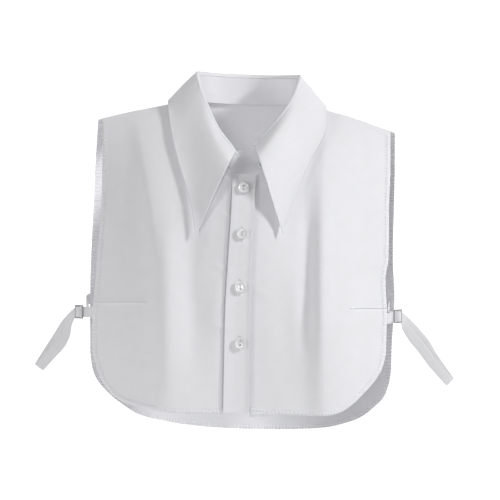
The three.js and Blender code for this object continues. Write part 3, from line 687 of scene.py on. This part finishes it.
def side_and_hem(side, hem, sign, top, inner_x):
    """The free edge of a bib in its width and height: down its side, round its corner and along its hem."""
    hem_key = hem.data[:, 0]
    outer_x = hem_key[0] if sign < 0 else hem_key[-1]
    corner_z = float(hem("z", outer_x))
    heights = np.linspace(top, corner_z, SIDE_POINTS)
    sides = np.stack([side("x", heights), heights], -1)
    limit = abs(side("x", corner_z))
    turn = np.linspace(0, 1, HEM_POINTS)
    widths = mix(outer_x, inner_x, 1 - np.cos(turn * np.pi / 2))
    hems = np.stack([np.sign(outer_x) * np.minimum(np.abs(widths), limit), hem("z", widths)], -1)
    return arc_spaced(np.concatenate([sides[:-1], hems]), SAMPLE_STEP)


def inward_normals(line, sign):
    """Unit directions in the bib, from its free edge inwards."""
    run = unit(np.gradient(line, axis=0))
    return np.stack([run[:, 1], -run[:, 0]], -1) * sign


def pucker(length, strength, seed):
    """Uneven small gathers along a sewn hem."""
    rng = np.random.default_rng(seed)
    knots = np.arange(0, length + 40, GATHER_KNOTS)
    at = np.arange(0, length, SAMPLE_STEP)
    strengths = np.interp(at, knots, rng.uniform(0.45, 1.0, len(knots)))
    speed = np.interp(at, knots, rng.uniform(0.8, 1.25, len(knots)))
    phase = np.cumsum(speed) * SAMPLE_STEP * 2 * np.pi / GATHER_PITCH
    return strength * strengths * np.sin(phase)


# Across a hem: distance in from the free edge, rise of its face, share of the gathers, roll to the inside
HEM_PROFILE = np.array([
    (-0.2, -0.5, 0.7, 1.5),
    (0.15, -0.3, 0.9, 0.7),
    (0.8, 0.05, 1.0, 0.1),
    (1.6, 0.22, 1.0, 0),
    (2.7, 0.24, 0.9, 0),
    (3.6, 0.08, 0.7, 0),
    (4.1, -0.3, 0.5, 0),
    (4.6, 0.0, 0.5, 0),
    (5.2, -0.24, 0.3, 0),
])


def hem_strip(name, line, sign, surface, strength, seed, turned):
    """The turned hem along a bib's free edge: a narrow double band with small gathers."""
    across, rise, share, roll = HEM_PROFILE.T[..., None]
    place = line + across[..., None] * inward_normals(line, sign)
    middle = surface(place[..., 0], place[..., 1])
    middle = middle - np.sign(middle[..., 1:2]) * roll[..., None] * [0, 1, 0]
    gathers = share * pucker(SAMPLE_STEP * len(line), strength, seed)[: len(line)]
    uv = np.stack(np.broadcast_arrays(np.arange(len(line)) * SAMPLE_STEP, across), -1)
    grids = [middle, uv, rise + gathers, rise - gathers]
    if turned:
        grids = [grid[::-1] for grid in grids]
    middle, uv, outer, inner = grids
    return cloth(name, middle, HEM_WALL, poplin, uv, outer, inner)


right_edge = side_and_hem(RIGHT_SIDE, RIGHT_HEM, -1, top=-15.0, inner_x=-25.4)
left_edge = side_and_hem(LEFT_SIDE, LEFT_HEM, 1, top=-28.0, inner_x=-28.0)
back_right_edge = side_and_hem(BACK_RIGHT_SIDE, BACK_HEM, -1, top=-15.0, inner_x=0.0)
back_left_edge = side_and_hem(BACK_LEFT_SIDE, BACK_HEM, 1, top=-28.0, inner_x=0.0)
back_edge = arc_spaced(np.concatenate([back_right_edge, back_left_edge[::-1][1:]]), SAMPLE_STEP)


def left_front_point(x, z):
    return front_point(x, z, UNDER_PLACKET)


hem_right = hem_strip("hem_front_right", right_edge, -1, front_point, strength=0.34, seed=3, turned=True)
hem_left = hem_strip("hem_front_left", left_edge, 1, left_front_point, strength=0.38, seed=5, turned=False)
hem_back = hem_strip("hem_back", back_edge, -1, back_point, strength=0.6, seed=7, turned=False)


# Collar
def stand_point(along, up):
    top = STAND.point("x y z", along)
    base = STAND.point("base_x base_y base_z", along)
    return base + (top - base) * np.asarray(up)[..., None]


def collar_stand():
    """The band, with a ridge along its base seam and a thicker top edge near the buttonhole end."""
    up, along = np.meshgrid(np.linspace(0, 1, 17), np.linspace(0, 1, 321), indexing="ij")
    height = STAND_HEIGHT * up
    ridge = 0.12 * bell(height - 1.2, 1.0) - 0.1 * bell(height - 2.6, 0.5)
    near_end = smooth((along - 0.02) / 0.05) * smooth((0.12 - along) / 0.03)
    lip = 1.5 * bell(height - 28.0, 2.0) * near_end
    uv = np.stack([along * STAND_LENGTH, height], -1)
    middle = stand_point(along, up)
    return cloth("collar_stand_cloth", middle, STAND_WALL, collar_cloth, uv, ridge + lip)


stand_piece = collar_stand()


def leaf_spring(along, fall):
    """How far the leaf's front edges spring off the bibs between the stand and the tips."""
    left_front = np.clip((along - LEFT_FRONT_FROM) / (LEAF_END - LEFT_FRONT_FROM), 0, 1)
    right_front = np.clip((RIGHT_FRONT_FROM - along) / (RIGHT_FRONT_FROM - LEAF_START), 0, 1)
    arch = np.maximum(np.sin(np.pi * np.sqrt(np.minimum(fall, 1))), 0) ** 1.5
    return (LEAF_SPRING_LEFT * left_front + LEAF_SPRING_RIGHT * right_front) * arch


def clear_of_bibs(points, spring):
    """Keeps the leaf before the bibs that it lies on, without a crease where it comes to lie on them."""
    x, y, z = points[..., 0], points[..., 1], points[..., 2]
    below = z - LEAF_LIFT
    form = np.where(y < 0, chest_depth(x, below), back_depth(x, below))
    apart = np.abs(y) - form - LEAF_LIFT / 2 - spring
    out = points.copy()
    softened = np.abs(y) - apart / 2 + np.sqrt(apart**2 + LEAF_SOFTNESS**2) / 2
    out[..., 1] = np.sign(y) * softened
    return out


def leaf_point(along, turn, fall):
    """The leaf rolls over the stand's top edge (turn) and falls to its outer edge (fall)."""
    top = stand_point(along, np.ones_like(along))
    edge = LEAF.point("x y z", along)
    away = edge - top
    away[..., 2] = 0
    away = unit(away)
    roll = turn * np.pi
    fold = top + away * (LEAF_ROLL * (1 - np.cos(roll)))[..., None]
    fold[..., 2] += mix(LEAF_RISE_START, LEAF_RISE_END, turn) + LEAF_ROLL * np.sin(roll)
    bulge = away * (LEAF_BULGE * np.sin(np.pi * fall) * (1 - fall))[..., None]
    fallen = fold + (edge - fold) * fall[..., None] + bulge
    cleared = clear_of_bibs(fallen, leaf_spring(along, fall))
    return mix(fold, cleared, smooth(fall / 0.12)[..., None])


def leaf_grid(turn_steps, fall_steps, columns):
    """The leaf's middle surface, from its outer edge up and over the roll."""
    turns = np.linspace(0, 1, turn_steps + 1)
    falls = np.linspace(0, 1, fall_steps + 1)[1:]
    turn = np.concatenate([turns, np.ones_like(falls)])
    fall = np.concatenate([np.zeros_like(turns), falls])
    along = np.linspace(LEAF_START, LEAF_END, columns)
    shape = np.broadcast_arrays(along[None, :], turn[:, None], fall[:, None])
    return leaf_point(*(np.array(part) for part in shape))[::-1]


def collar_leaf():
    middle = leaf_grid(turn_steps=8, fall_steps=52, columns=361)
    from_edge = lengths_along(middle)
    length = lengths_along(middle, axis=1)
    from_end = np.minimum(length, length[:, -1:] - length)
    edge = np.minimum(from_edge, np.minimum(from_end, 30))
    ridge = 0.12 * bell(edge - 0.9, 0.9) - 0.35 * bell(edge, 0.35)
    uv = np.stack([length, from_edge], -1)
    piece = cloth("collar_leaf_cloth", middle, LEAF_WALL, collar_cloth, uv, ridge, ridge)
    return piece, middle


leaf_piece, leaf_middle = collar_leaf()


# Placket
def placket_relief(from_side):
    """Two sewn lines near the edges, with the cloth a little puffed outside them."""
    return 0.2 * bell(from_side - 2.2, 1.8) - 0.45 * bell(from_side - 5.0, 0.8)


def placket_curl(from_edge):
    """The open edge of the placket stands a little off the bib beside it."""
    return 1.2 * bell(from_edge, 6.5)


def seam_lift(from_seam):
    """The sewn edge of the placket is thick with turned-in cloth."""
    return 0.9 * bell(from_seam, 2.6)


def placket_strip():
    down, across = np.meshgrid(np.linspace(0, 1, 261), np.linspace(0, 1, 31), indexing="ij")
    z = mix(PLACKET_TOP, PLACKET_BOTTOM, down)
    right, left = PLACKET("right", z), PLACKET("left", z)
    x = mix(right, left, across)
    middle = front_point(x, z)
    lifts = placket_curl(x - right) + seam_lift(left - x)
    middle[..., 1] -= PLACKET_PROUD + lifts * smooth((PLACKET_TOP - z) / 14)
    from_side = np.minimum(x - right, left - x)
    wrinkle = 0.26 * np.sin(z / 1.9 + 1.7 * np.sin(z / 13)) * bell(from_side - 4.0, 2.6)
    relief = placket_relief(from_side) + wrinkle
    middle, uv, relief = (grid[:, ::-1] for grid in (middle, np.stack([x, z], -1), relief))
    return cloth("placket_cloth", middle, PLACKET_WALL, poplin, uv, relief)


placket_piece = placket_strip()


def surface_normal(x, z):
    """The outward direction of the front, measured over a few millimetres."""
    step = 2.0
    across = (chest_depth(x + step, z) - chest_depth(x - step, z)) / (2 * step)
    down = (chest_depth(x, z + step) - chest_depth(x, z - step)) / (2 * step)
    return unit(np.stack([-across, -np.ones_like(across), -down], -1))


# Buttons
def turned_mesh(name, profile, segments):
    """A surface of revolution about Z, from (radius, height) rows in metres. A radius of 0 is one point."""
    turns = [2 * math.pi * k / segments for k in range(segments)]
    points, rings = [], []
    for radius, height in profile:
        angles = turns if radius else turns[:1]
        rings.append(range(len(points), len(points) + len(angles)))
        points += [(radius * math.cos(a), radius * math.sin(a), height) for a in angles]
    faces = []
    for lower, upper in zip(rings, rings[1:]):
        for k in range(segments):
            corners = [(lower, k), (lower, k + 1), (upper, k + 1), (upper, k)]
            faces.append(list(dict.fromkeys(ring[place % len(ring)] for ring, place in corners)))
    mesh = bpy.data.meshes.new(name)
    mesh.from_pydata(points, [], faces)
    return mesh


def button_mesh(diameter):
    """A dished two-hole button with a raised rounded rim, its face towards +Z."""
    radius = diameter / 2
    profile = [
        (0, 0), (radius * 0.6, 0.05), (radius - 0.9, 0.3), (radius - 0.25, 0.8), (radius, 1.35),
        (radius - 0.1, 1.95), (radius - 0.5, 2.32), (radius - 0.95, 2.38), (radius - 1.35, 2.2),
        (radius - 1.7, 1.85), (radius - 2.1, 1.68), (radius * 0.4, 1.62), (0, 1.6),
    ]
    return turned_mesh("button", [(r * MM, h * MM) for r, h in profile], segments=56)


def with_thread_holes(mesh, spacing, hole):
    """Cuts the two thread holes, one above the other."""
    body = linked("button_body", mesh)
    for side in (-1, 1):
        bpy.ops.mesh.primitive_cylinder_add(
            vertices=24, radius=hole / 2 * MM, depth=8 * MM, location=(0, side * spacing / 2 * MM, 1 * MM)
        )
        cutter = bpy.context.object
        cut = body.modifiers.new("hole", "BOOLEAN")
        cut.operation, cut.object, cut.solver = "DIFFERENCE", cutter, "EXACT"
        bpy.context.view_layer.update()
        cut_mesh = bpy.data.meshes.new_from_object(body.evaluated_get(bpy.context.evaluated_depsgraph_get()))
        body.modifiers.clear()
        body.data = cut_mesh
        bpy.data.objects.remove(cutter)
    result = body.data
    bpy.data.objects.remove(body)
    shade_smooth(result)
    result.set_sharp_from_angle(angle=math.radians(35))
    return result


def frame_on(place, outwards):
    """A matrix whose Z is outwards and whose Y is as upright as it can be."""
    out = Vector(outwards).normalized()
    side = Vector((0, 0, 1)).cross(out).normalized()
    up = out.cross(side)
    matrix = Matrix((side, up, out)).transposed().to_4x4()
    matrix.translation = Vector(place) * MM
    return matrix


def button_piece(name, node, shape, place, outwards, twist):
    mesh = shape.copy()
    mesh.transform(frame_on(place, outwards) @ Matrix.Rotation(twist, 4, "Z"))
    mesh.materials.clear()
    mesh.materials.append(button_look)
    piece = riding(linked(name, mesh))
    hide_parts(node)


def thread_tubes(paths, radius, sides):
    """Round threads along short paths, as the points, faces and cloth places of one mesh."""
    points, faces, uvs = [], [], []
    for path in paths:
        path = np.asarray(path, float)
        run = unit(np.gradient(path, axis=0))
        helper = np.where(np.abs(run[:, 2:3]) < 0.9, [[0, 0, 1.0]], [[1.0, 0, 0]])
        side = unit(np.cross(run, helper))
        other = np.cross(run, side)
        taper = np.ones(len(path))
        taper[0] = taper[-1] = 0.35
        start = len(points)
        for k, (p, s, o) in enumerate(zip(path, side, other)):
            for a in np.arange(sides) * 2 * np.pi / sides:
                points.append(p + radius * taper[k] * (math.cos(a) * s + math.sin(a) * o))
                uvs.append((k * 0.5, a))
        for k in range(len(path) - 1):
            for a in range(sides):
                b = (a + 1) % sides
                low, high = start + k * sides, start + (k + 1) * sides
                faces.append((low + a, low + b, high + b, high + a))
        last_ring = start + (len(path) - 1) * sides
        for tip, ring in ((path[0], start), (path[-1], last_ring)):
            points.append(tip)
            uvs.append((0, 0))
            for a in range(sides):
                pair = (ring + a, ring + (a + 1) % sides)
                faces.append((len(points) - 1, *(pair if ring == last_ring else pair[::-1])))
    return np.array(points), faces, np.array(uvs)


def thread_object(name, paths, radius, sides=6):
    points, faces, uvs = thread_tubes(paths, radius, sides)
    mesh = bpy.data.meshes.new(name)
    mesh.from_pydata((points * MM).tolist(), [], faces)
    corner_points = np.zeros(len(mesh.loops), np.int32)
    mesh.loops.foreach_get("vertex_index", corner_points)
    set_uv(mesh, corner_points, uvs)
    shade_smooth(mesh)
    mesh.materials.append(thread_look)
    return riding(linked(name, mesh))


def on_button(place, outwards, twist, local):
    """Places given from a button's own middle, in the frame of the part."""
    matrix = frame_on(place, outwards) @ Matrix.Rotation(twist, 4, "Z")
    return [tuple((matrix @ (Vector(p) * MM)) / MM) for p in local]


def button_thread(place, outwards, twist, spacing):
    """Three strands from hole to hole over the bridge, and the shank behind."""
    paths = []
    for shift in (-0.32, 0.0, 0.32):
        half = spacing / 2
        local = [
            (shift, -half, -1.4), (shift, -half, 1.2), (shift, -half + 0.25, 1.72), (shift * 1.2, 0, 1.9),
            (shift, half - 0.25, 1.72), (shift, half, 1.2), (shift, half, -1.4),
        ]
        paths.append(on_button(place, outwards, twist, local))
    return paths


def buttonhole(place, outwards, length, width):
    """Satin stitches round a slit, all in line with the placket."""
    paths = []
    half = length / 2
    for side in (-1, 1):
        for at in np.arange(-half, half + 0.01, 0.45):
            low, high = side * 0.12, side * width / 2
            local = [(low, at, 0.02), (mix(low, high, 0.5), at, 0.2), (high, at, 0.0)]
            paths.append(on_button(place, outwards, 0.0, local))
    for end in (-1, 1):
        for beyond in np.linspace(0.06, 0.54, 4):
            y = end * (half + beyond)
            local = [(-width / 2, y, 0.02), (0, y, 0.25), (width / 2, y, 0.02)]
            paths.append(on_button(place, outwards, 0.0, local))
    return paths


BUTTON_DIAMETER, COLLAR_BUTTON_DIAMETER = 11.5, 9.5
HOLE, HOLE_SPACING = 1.8, 3.4
BUTTON_OFF_CLOTH, COLLAR_BUTTON_OFF_CLOTH = 0.75, 1.9
BUTTONHOLE_LENGTH, BUTTONHOLE_WIDTH, BUTTONHOLE_LIFT = 14.0, 2.6, 0.1
TWISTS = (0.05, -0.1, 0.12, -0.04)
COLLAR_BUTTON_AT, COLLAR_BUTTON_UP, COLLAR_BUTTON_TWIST = 0.014, 0.66, 0.2
BUTTON_THREAD, HEM_THREAD, COLLAR_THREAD = 0.2, 0.17, 0.15


def placket_buttons():
    """The four buttons down the placket, and the paths of their threads and buttonholes."""
    paths = []
    shape = with_thread_holes(button_mesh(BUTTON_DIAMETER), HOLE_SPACING, HOLE)
    for number, ((x, z), twist) in enumerate(zip(BUTTONS, TWISTS), 1):
        out = surface_normal(np.array(x), np.array(z))
        proud = np.array([0, -PLACKET_PROUD, 0])
        on_cloth = front_point(np.array(float(x)), np.array(float(z))) + proud + out * (PLACKET_WALL / 2)
        seat = on_cloth + out * BUTTON_OFF_CLOTH
        button_piece(f"button_{number}_detail", f"button_{number}", shape, seat, out, twist)
        paths += button_thread(seat, out, twist, HOLE_SPACING)
        paths += buttonhole(on_cloth + out * BUTTONHOLE_LIFT, out, BUTTONHOLE_LENGTH, BUTTONHOLE_WIDTH)
    return paths


def stand_button():
    """The button on the stand, under the leaf, and the paths of its threads."""
    shape = with_thread_holes(button_mesh(COLLAR_BUTTON_DIAMETER), HOLE_SPACING, HOLE)
    at, up = np.array(COLLAR_BUTTON_AT), np.array(COLLAR_BUTTON_UP)
    across = stand_point(at + 0.01, up) - stand_point(at, up)
    upwards = stand_point(at, np.array(1.0)) - stand_point(at, np.array(0.0))
    out = unit(np.cross(upwards, across))
    seat = stand_point(at, up) + out * (STAND_WALL / 2 + COLLAR_BUTTON_OFF_CLOTH)
    button_piece("collar_button_detail", "collar_button", shape, seat, out, COLLAR_BUTTON_TWIST)
    return button_thread(seat, out, COLLAR_BUTTON_TWIST, HOLE_SPACING)


thread_object("button_sewing", placket_buttons() + stand_button(), BUTTON_THREAD, sides=8)

for piece, node in (
    (front_right, "front_bib_right"),
    (front_left, "front_bib_left"),
    (back, "back_bib"),
    (placket_piece, "placket"),
    (stand_piece, "collar_stand"),
    (leaf_piece, "collar_leaf"),
):
    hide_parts(node)


# Stitching
STITCH_SINK = 0.05
PLACKET_STITCH = 4.6
COLLAR_STITCH = {"pitch": 2.2, "length": 1.6}


def stitch_paths(line, normal, pitch=2.6, length=1.9, lift=0.1):
    """Single stitches along a line on a surface, each a short thread that dips in at both ends."""
    lengths = lengths_along(line)
    starts = np.arange(0.5, lengths[-1] - pitch, pitch)
    dip = -0.12
    shape = ((0.0, dip), (0.25, lift), (0.75, lift), (1.0, dip))

    def at(distance, rise):
        return sampled(line, lengths, distance) + sampled(normal, lengths, distance) * rise

    return [[at(start + share * length, rise) for share, rise in shape] for start in starts]


def along_edge(line, sign, surface, inset, outward_y):
    """A line on a bib's outer face at an even distance from its free edge, with its normals."""
    place = line + inset * inward_normals(line, sign)
    x, z = place[:, 0], place[:, 1]
    points = surface(x, z)
    step = 0.5
    dx = surface(x + step, z) - surface(x - step, z)
    dz = surface(x, z + step) - surface(x, z - step)
    normal = unit(np.cross(dx, dz))
    normal *= np.sign(normal[:, 1:2]) * outward_y
    return points + normal * (HEM_WALL / 2 - STITCH_SINK), normal


stitches = []
for line, sign, surface, outward_y in (
    (right_edge, -1, front_point, -1),
    (left_edge, 1, left_front_point, -1),
    (back_edge, -1, back_point, 1),
):
    stitches += stitch_paths(*along_edge(line, sign, surface, HEM_STITCH, outward_y))
thread_object("hem_stitching", stitches, HEM_THREAD)

placket_stitches = []
for column, inset in (("right", PLACKET_STITCH), ("left", -PLACKET_STITCH)):
    z = np.linspace(PLACKET_TOP - 1, PLACKET_BOTTOM + 2, 240)
    x = PLACKET(column, z) + inset
    normal = surface_normal(x, z)
    proud = PLACKET_PROUD + placket_curl(x - PLACKET("right", z))
    line = front_point(x, z) - np.outer(proud, [0, 1, 0]) + normal * (PLACKET_WALL / 2 - 0.1)
    placket_stitches += stitch_paths(line, normal)
thread_object("placket_stitching", placket_stitches, HEM_THREAD)


def leaf_edge_line(inset):
    """A line on the leaf's outer face, a little in from its front edges and its outer edge."""
    outer = grid_normals(leaf_middle)
    depth = lengths_along(leaf_middle)
    face = leaf_middle + outer * (LEAF_WALL / 2)
    columns = range(4, leaf_middle.shape[1] - 4)
    edge = np.array([sampled(face[:, c], depth[:, c], inset) for c in columns])
    edge_out = np.array([sampled(outer[:, c], depth[:, c], inset) for c in columns])
    return edge, unit(edge_out)


def stand_seam_lines():
    """Lines just above the stand's base, on both of its faces, with their normals."""
    along = np.linspace(0.004, 0.996, 400)
    rows = np.array([0.05, 0.09, 0.13])
    grid = stand_point(*np.broadcast_arrays(along[None, :], rows[:, None]))
    out = grid_normals(grid)[1]
    return [(grid[1] + side * out * (STAND_WALL / 2 - STITCH_SINK), side * out) for side in (1, -1)]


collar_stitches = stitch_paths(*leaf_edge_line(2.0), **COLLAR_STITCH)
for line, normal in stand_seam_lines():
    collar_stitches += stitch_paths(line, normal, **COLLAR_STITCH)
thread_object("collar_stitching", collar_stitches, COLLAR_THREAD)


# Side straps
TAPE_WIDTH, TAPE_APART, TAPE_BEND = 10.2, 0.65, 1.6
SLIDER_PITCH, SLIDER_WEAVE, SLIDER_TURN = 5.5, 2.6, 48
SLIDER_BAR, SLIDER_RAIL, SLIDER_THICK, SLIDER_ROUNDING = 1.0, 1.4, 1.2, 0.32
SLIDER_OPENING = 10.7
WEAVE_REACH, WEAVE_POINTS, LOOP_POINTS, FRONT_POINTS, BACK_POINTS = 1.25, 41, 120, 24, 90

# Places are x, y, z. A loop's rows go on with the tape's lean in degrees, its bow and the strands' opening
STRAPS = {
    "right": {
        "sign": -1,
        "slider": (-168.5, -27, -202.5),
        "loop": [
            (-176.5, -18, -208.5, 12, 2, 0.5), (-182, -14, -219, 34, 6, 3), (-189, -12, -231.5, 45, 6.5, 5),
            (-198, -11, -243.5, 50, 4, 4), (-209, -10, -258, 53, 0.6, 0.6),
        ],
        "front": [(-147, -57, -201.5), (-157, -51, -201.5)],
        "back": [(-161, -10, -198), (-163, 12, -193), (-159, 27, -191.5), (-151, 34, -191)],
    },
    "left": {
        "sign": 1,
        "slider": (147.5, -27, -207),
        "loop": [
            (155, -18, -214, 26, 3, 0.5), (163.5, -15, -225, 38, 5.5, 3), (174, -13, -237.5, 42, 5.5, 4),
            (184, -12, -252.5, 44, 3.5, 3), (200, -12, -272.5, 44, 0.6, 0.6),
        ],
        "front": [(128, -58, -208), (137.5, -51, -208)],
        "back": [(139, -10, -203), (141, 20, -198), (139, 34, -197)],
    },
}


def slider_axes(sign):
    turn = math.radians(SLIDER_TURN)
    along = np.array([sign * math.cos(turn), math.sin(turn), 0])
    out = np.array([sign * math.sin(turn), -math.cos(turn), 0])
    return along, out


def smooth_path(rows, count):
    """Even samples of a smooth line through rows of any columns, spaced by the distance between places."""
    rows = np.asarray(rows, float)
    gaps = np.sqrt(np.linalg.norm(np.diff(rows[:, :3], axis=0), axis=1))
    key = np.concatenate([[0], np.cumsum(gaps)])
    names = " ".join(f"column_{k}" for k in range(rows.shape[1]))
    curve = Curve("key " + names, np.column_stack([key, rows]))
    return curve.point(names, np.linspace(0, key[-1], count + 1))


def strap_middle(strap):
    """The doubled tape's middle line: place, lean, bow and opening."""
    along, out = slider_axes(strap["sign"])
    bars = np.linspace(-WEAVE_REACH, WEAVE_REACH, WEAVE_POINTS)
    weave = np.array(strap["slider"]) + np.outer(bars * SLIDER_PITCH, along)
    weave = weave + np.outer(SLIDER_WEAVE * np.cos(bars * np.pi), out)
    weave = np.column_stack([weave, np.zeros((len(bars), 3))])
    return np.concatenate([weave, smooth_path([weave[-1], *strap["loop"]], LOOP_POINTS)[1:]])


def strap_strand(middle, side, sign):
    place = middle[:, :3]
    lean = np.radians(middle[:, 3])
    wide = np.stack([sign * np.sin(lean), np.zeros_like(lean), np.cos(lean)], -1)
    normal = unit(np.cross(wide, np.gradient(place, axis=0)))
    apart = (TAPE_WALL + TAPE_APART + middle[:, 5]) / 2
    moved = place - normal * (side * sign * apart)[:, None]
    return moved - wide * (side * middle[:, 4] / 2)[:, None], wide


def back_turn(aft, sign):
    """The aft strand leaves the slider where the fore strand comes in, so it turns back in a small bend."""
    onward = unit(aft[-1] - aft[-2])
    inwards = np.cross(onward, [0, 0, 1.0]) * sign
    return [aft[-1] + (inwards + onward) * TAPE_BEND, aft[-1] + inwards * 2 * TAPE_BEND]


def tape_strap(name, strap, node):
    """One tape from the front bib, through the slider, round the loop and back to the back bib."""
    sign = strap["sign"]
    middle = strap_middle(strap)
    fore, fore_wide = strap_strand(middle, 1, sign)
    aft, aft_wide = strap_strand(middle, -1, sign)
    aft, aft_wide = aft[::-1], aft_wide[::-1]
    onward = unit(middle[-1, :3] - middle[-2, :3])
    turn = ((0.1, 0.5), (0.5, 0.9), (0.9, 0.5))
    bulge = [mix(fore[-1], aft[0], share) + onward * reach for share, reach in turn]
    front = smooth_path([*strap["front"], fore[0]], FRONT_POINTS)[:-1]
    back_lead = smooth_path([aft[-1], *back_turn(aft, sign), *strap["back"]], BACK_POINTS)[1:]
    line = np.concatenate([front, fore, bulge, aft, back_lead])
    upright = np.array([0.0, 0.0, 1.0])
    wide = np.concatenate([
        np.tile(upright, (len(front), 1)), fore_wide, np.tile(fore_wide[-1], (3, 1)), aft_wide,
        np.tile(upright, (len(back_lead), 1)),
    ])
    across = np.linspace(-0.5, 0.5, 7)
    grid = line + across[:, None, None] * TAPE_WIDTH * wide
    length = lengths_along(line)
    uv = np.stack(np.broadcast_arrays(length[None, :], (across * TAPE_WIDTH)[:, None]), -1)
    crown = (0.08 - 0.3 * (np.abs(across) * 2) ** 6)[:, None]
    piece = cloth(name, grid, TAPE_WALL, tape_look, uv, crown, crown)
    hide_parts(node)


def slider_piece(name, strap, node):
    """A ladder slider of three bars and two rails, with its edges rounded."""
    along, out = slider_axes(strap["sign"])
    half = SLIDER_OPENING / 2
    bars = (-SLIDER_PITCH, 0, SLIDER_PITCH)
    xs = [bar + side * SLIDER_BAR / 2 for bar in bars for side in (-1, 1)]
    ys = [-half - SLIDER_RAIL, -half, half, half + SLIDER_RAIL]
    solid = {(i, j) for i in range(5) for j in range(3) if j != 1 or i % 2 == 0}
    work = bmesh.new()
    corner = {}
    for i, x in enumerate(xs):
        for j, y in enumerate(ys):
            for k, h in enumerate((-SLIDER_THICK / 2, SLIDER_THICK / 2)):
                corner[i, j, k] = work.verts.new((x * MM, y * MM, h * MM))
    for i, j in solid:
        for k in (0, 1):
            square = ((i, j), (i + 1, j), (i + 1, j + 1), (i, j + 1))
            work.faces.new([corner[(*place, k)] for place in square])
        sides = {
            (i - 1, j): ((i, j), (i, j + 1)),
            (i + 1, j): ((i + 1, j), (i + 1, j + 1)),
            (i, j - 1): ((i, j), (i + 1, j)),
            (i, j + 1): ((i, j + 1), (i + 1, j + 1)),
        }
        for neighbour, (a, b) in sides.items():
            if neighbour not in solid:
                work.faces.new([corner[(*a, 0)], corner[(*b, 0)], corner[(*b, 1)], corner[(*a, 1)]])
    bmesh.ops.recalc_face_normals(work, faces=work.faces)
    mesh = bpy.data.meshes.new(name)
    work.to_mesh(mesh)
    work.free()
    axes = Matrix((Vector(along), Vector((0, 0, 1)), Vector(out))).transposed().to_4x4()
    axes.translation = Vector(strap["slider"]) * MM
    mesh.transform(axes)
    if axes.determinant() < 0:
        mesh.flip_normals()
    shade_smooth(mesh)
    # This colour includes painted shade for the slots.
    mesh.materials.append(slider_plastic_and_painted_shade)
    piece = linked(name, mesh)
    rounding = piece.modifiers.new("rounding", "BEVEL")
    rounding.width, rounding.segments, rounding.limit_method = SLIDER_ROUNDING * MM, 3, "ANGLE"
    riding(piece)
    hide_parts(node)


for side_name, strap in STRAPS.items():
    slider_name = f"slider_{side_name}_detail"
    slider_piece(slider_name, strap, f"slider_{side_name}")
    tape_strap(f"strap_{side_name}", strap, f"strap_{side_name}")


# Stage, light and camera
FLOOR_Z = -0.46
STUDIO_RADIUS = 6.0
TARGET = Vector((0.001, 0, -0.142))
VIEW_ELEVATION, VIEW_DISTANCE = 1.5, 3.0
SENSOR_WIDTH, LENS = 36, 216

# The room's glow, before, behind and straight behind the object, and where it changes
FRONT_GLOW, BACK_GLOW, BAND_GLOW = 0.03, 0.5, 1.0
BAND_EDGE, BAND_END = 0.8, 1.8
FRONT_END, BACK_START = -0.9, 0.5

# Lamps: azimuth, elevation, distance, width, power
LAMPS = {
    "key": (64, 27, 2.2, 0.35, 28),
    "front": (-4, 6, 3.4, 1.0, 30),
    "side": (-50, 10, 2.6, 0.8, 13),
}


def add_range(tree, value, start, end, low, high):
    """Runs from low to high while a value runs from start to end. The last may come from another node."""
    node = add_node(tree, "ShaderNodeMapRange", From_Min=start, From_Max=end, To_Min=low)
    tree.links.new(value, node.inputs["Value"])
    if isinstance(high, bpy.types.NodeSocket):
        tree.links.new(high, node.inputs["To Max"])
    else:
        node.inputs["To Max"].default_value = high
    return node.outputs["Result"]


def studio_white():
    """Pale paint that glows softly, more behind the object, and most in the band straight behind it."""
    material, tree, shader = new_material("studio white", (0.2, 0.2, 0.2), 0.95)
    shader.inputs["Emission Color"].default_value = (1, 1, 1, 1)
    axes = add_node(tree, "ShaderNodeSeparateXYZ")
    tree.links.new(add_node(tree, "ShaderNodeTexCoord").outputs["Object"], axes.inputs[0])
    aside = add_math(tree, "ABSOLUTE", axes.outputs["X"])
    band = add_range(tree, aside, BAND_EDGE, BAND_END, BAND_GLOW, BACK_GLOW)
    glow = add_range(tree, axes.outputs["Y"], FRONT_END, BACK_START, FRONT_GLOW, band)
    tree.links.new(glow, shader.inputs["Emission Strength"])
    return material


def room_part(name, profile, material):
    mesh = turned_mesh(name, profile, segments=96)
    shade_smooth(mesh)
    mesh.materials.append(material)
    linked(name, mesh)


def studio():
    """A round floor under a dome, both closed to a pinhole on the axis."""
    white = studio_white()
    room_part("studio_floor", [(r, FLOOR_Z) for r in np.linspace(0.0005, STUDIO_RADIUS, 40)], white)
    rise = np.linspace(0, math.pi / 2 - 0.0002, 24)
    dome = [(STUDIO_RADIUS * math.cos(a), FLOOR_Z + STUDIO_RADIUS * math.sin(a)) for a in rise]
    room_part("studio_backdrop", dome, white)


def aimed(name, data, azimuth, elevation, distance):
    """A lamp or camera that looks at the object. Azimuth 0 is straight before it, 90 on its left side."""
    a, e = math.radians(azimuth), math.radians(elevation)
    away = Vector((math.sin(a) * math.cos(e), -math.cos(a) * math.cos(e), math.sin(e)))
    viewer = linked(name, data)
    viewer.location = TARGET + away * distance
    viewer.rotation_euler = (-away).to_track_quat("-Z", "Y").to_euler()
    return viewer


def area_light(name, azimuth, elevation, distance, size, power):
    light = bpy.data.lights.new(name, "AREA")
    light.shape, light.size, light.energy = "DISK", size, power
    aimed(name, light, azimuth, elevation, distance)


def camera():
    data = bpy.data.cameras.new("camera")
    data.sensor_width, data.lens = SENSOR_WIDTH, LENS
    data.clip_end = 30
    bpy.context.scene.camera = aimed("camera", data, 0, VIEW_ELEVATION, VIEW_DISTANCE)


studio()
for name, lamp in LAMPS.items():
    area_light(name, *lamp)
bpy.context.scene.view_settings.view_transform = "Standard"
camera()
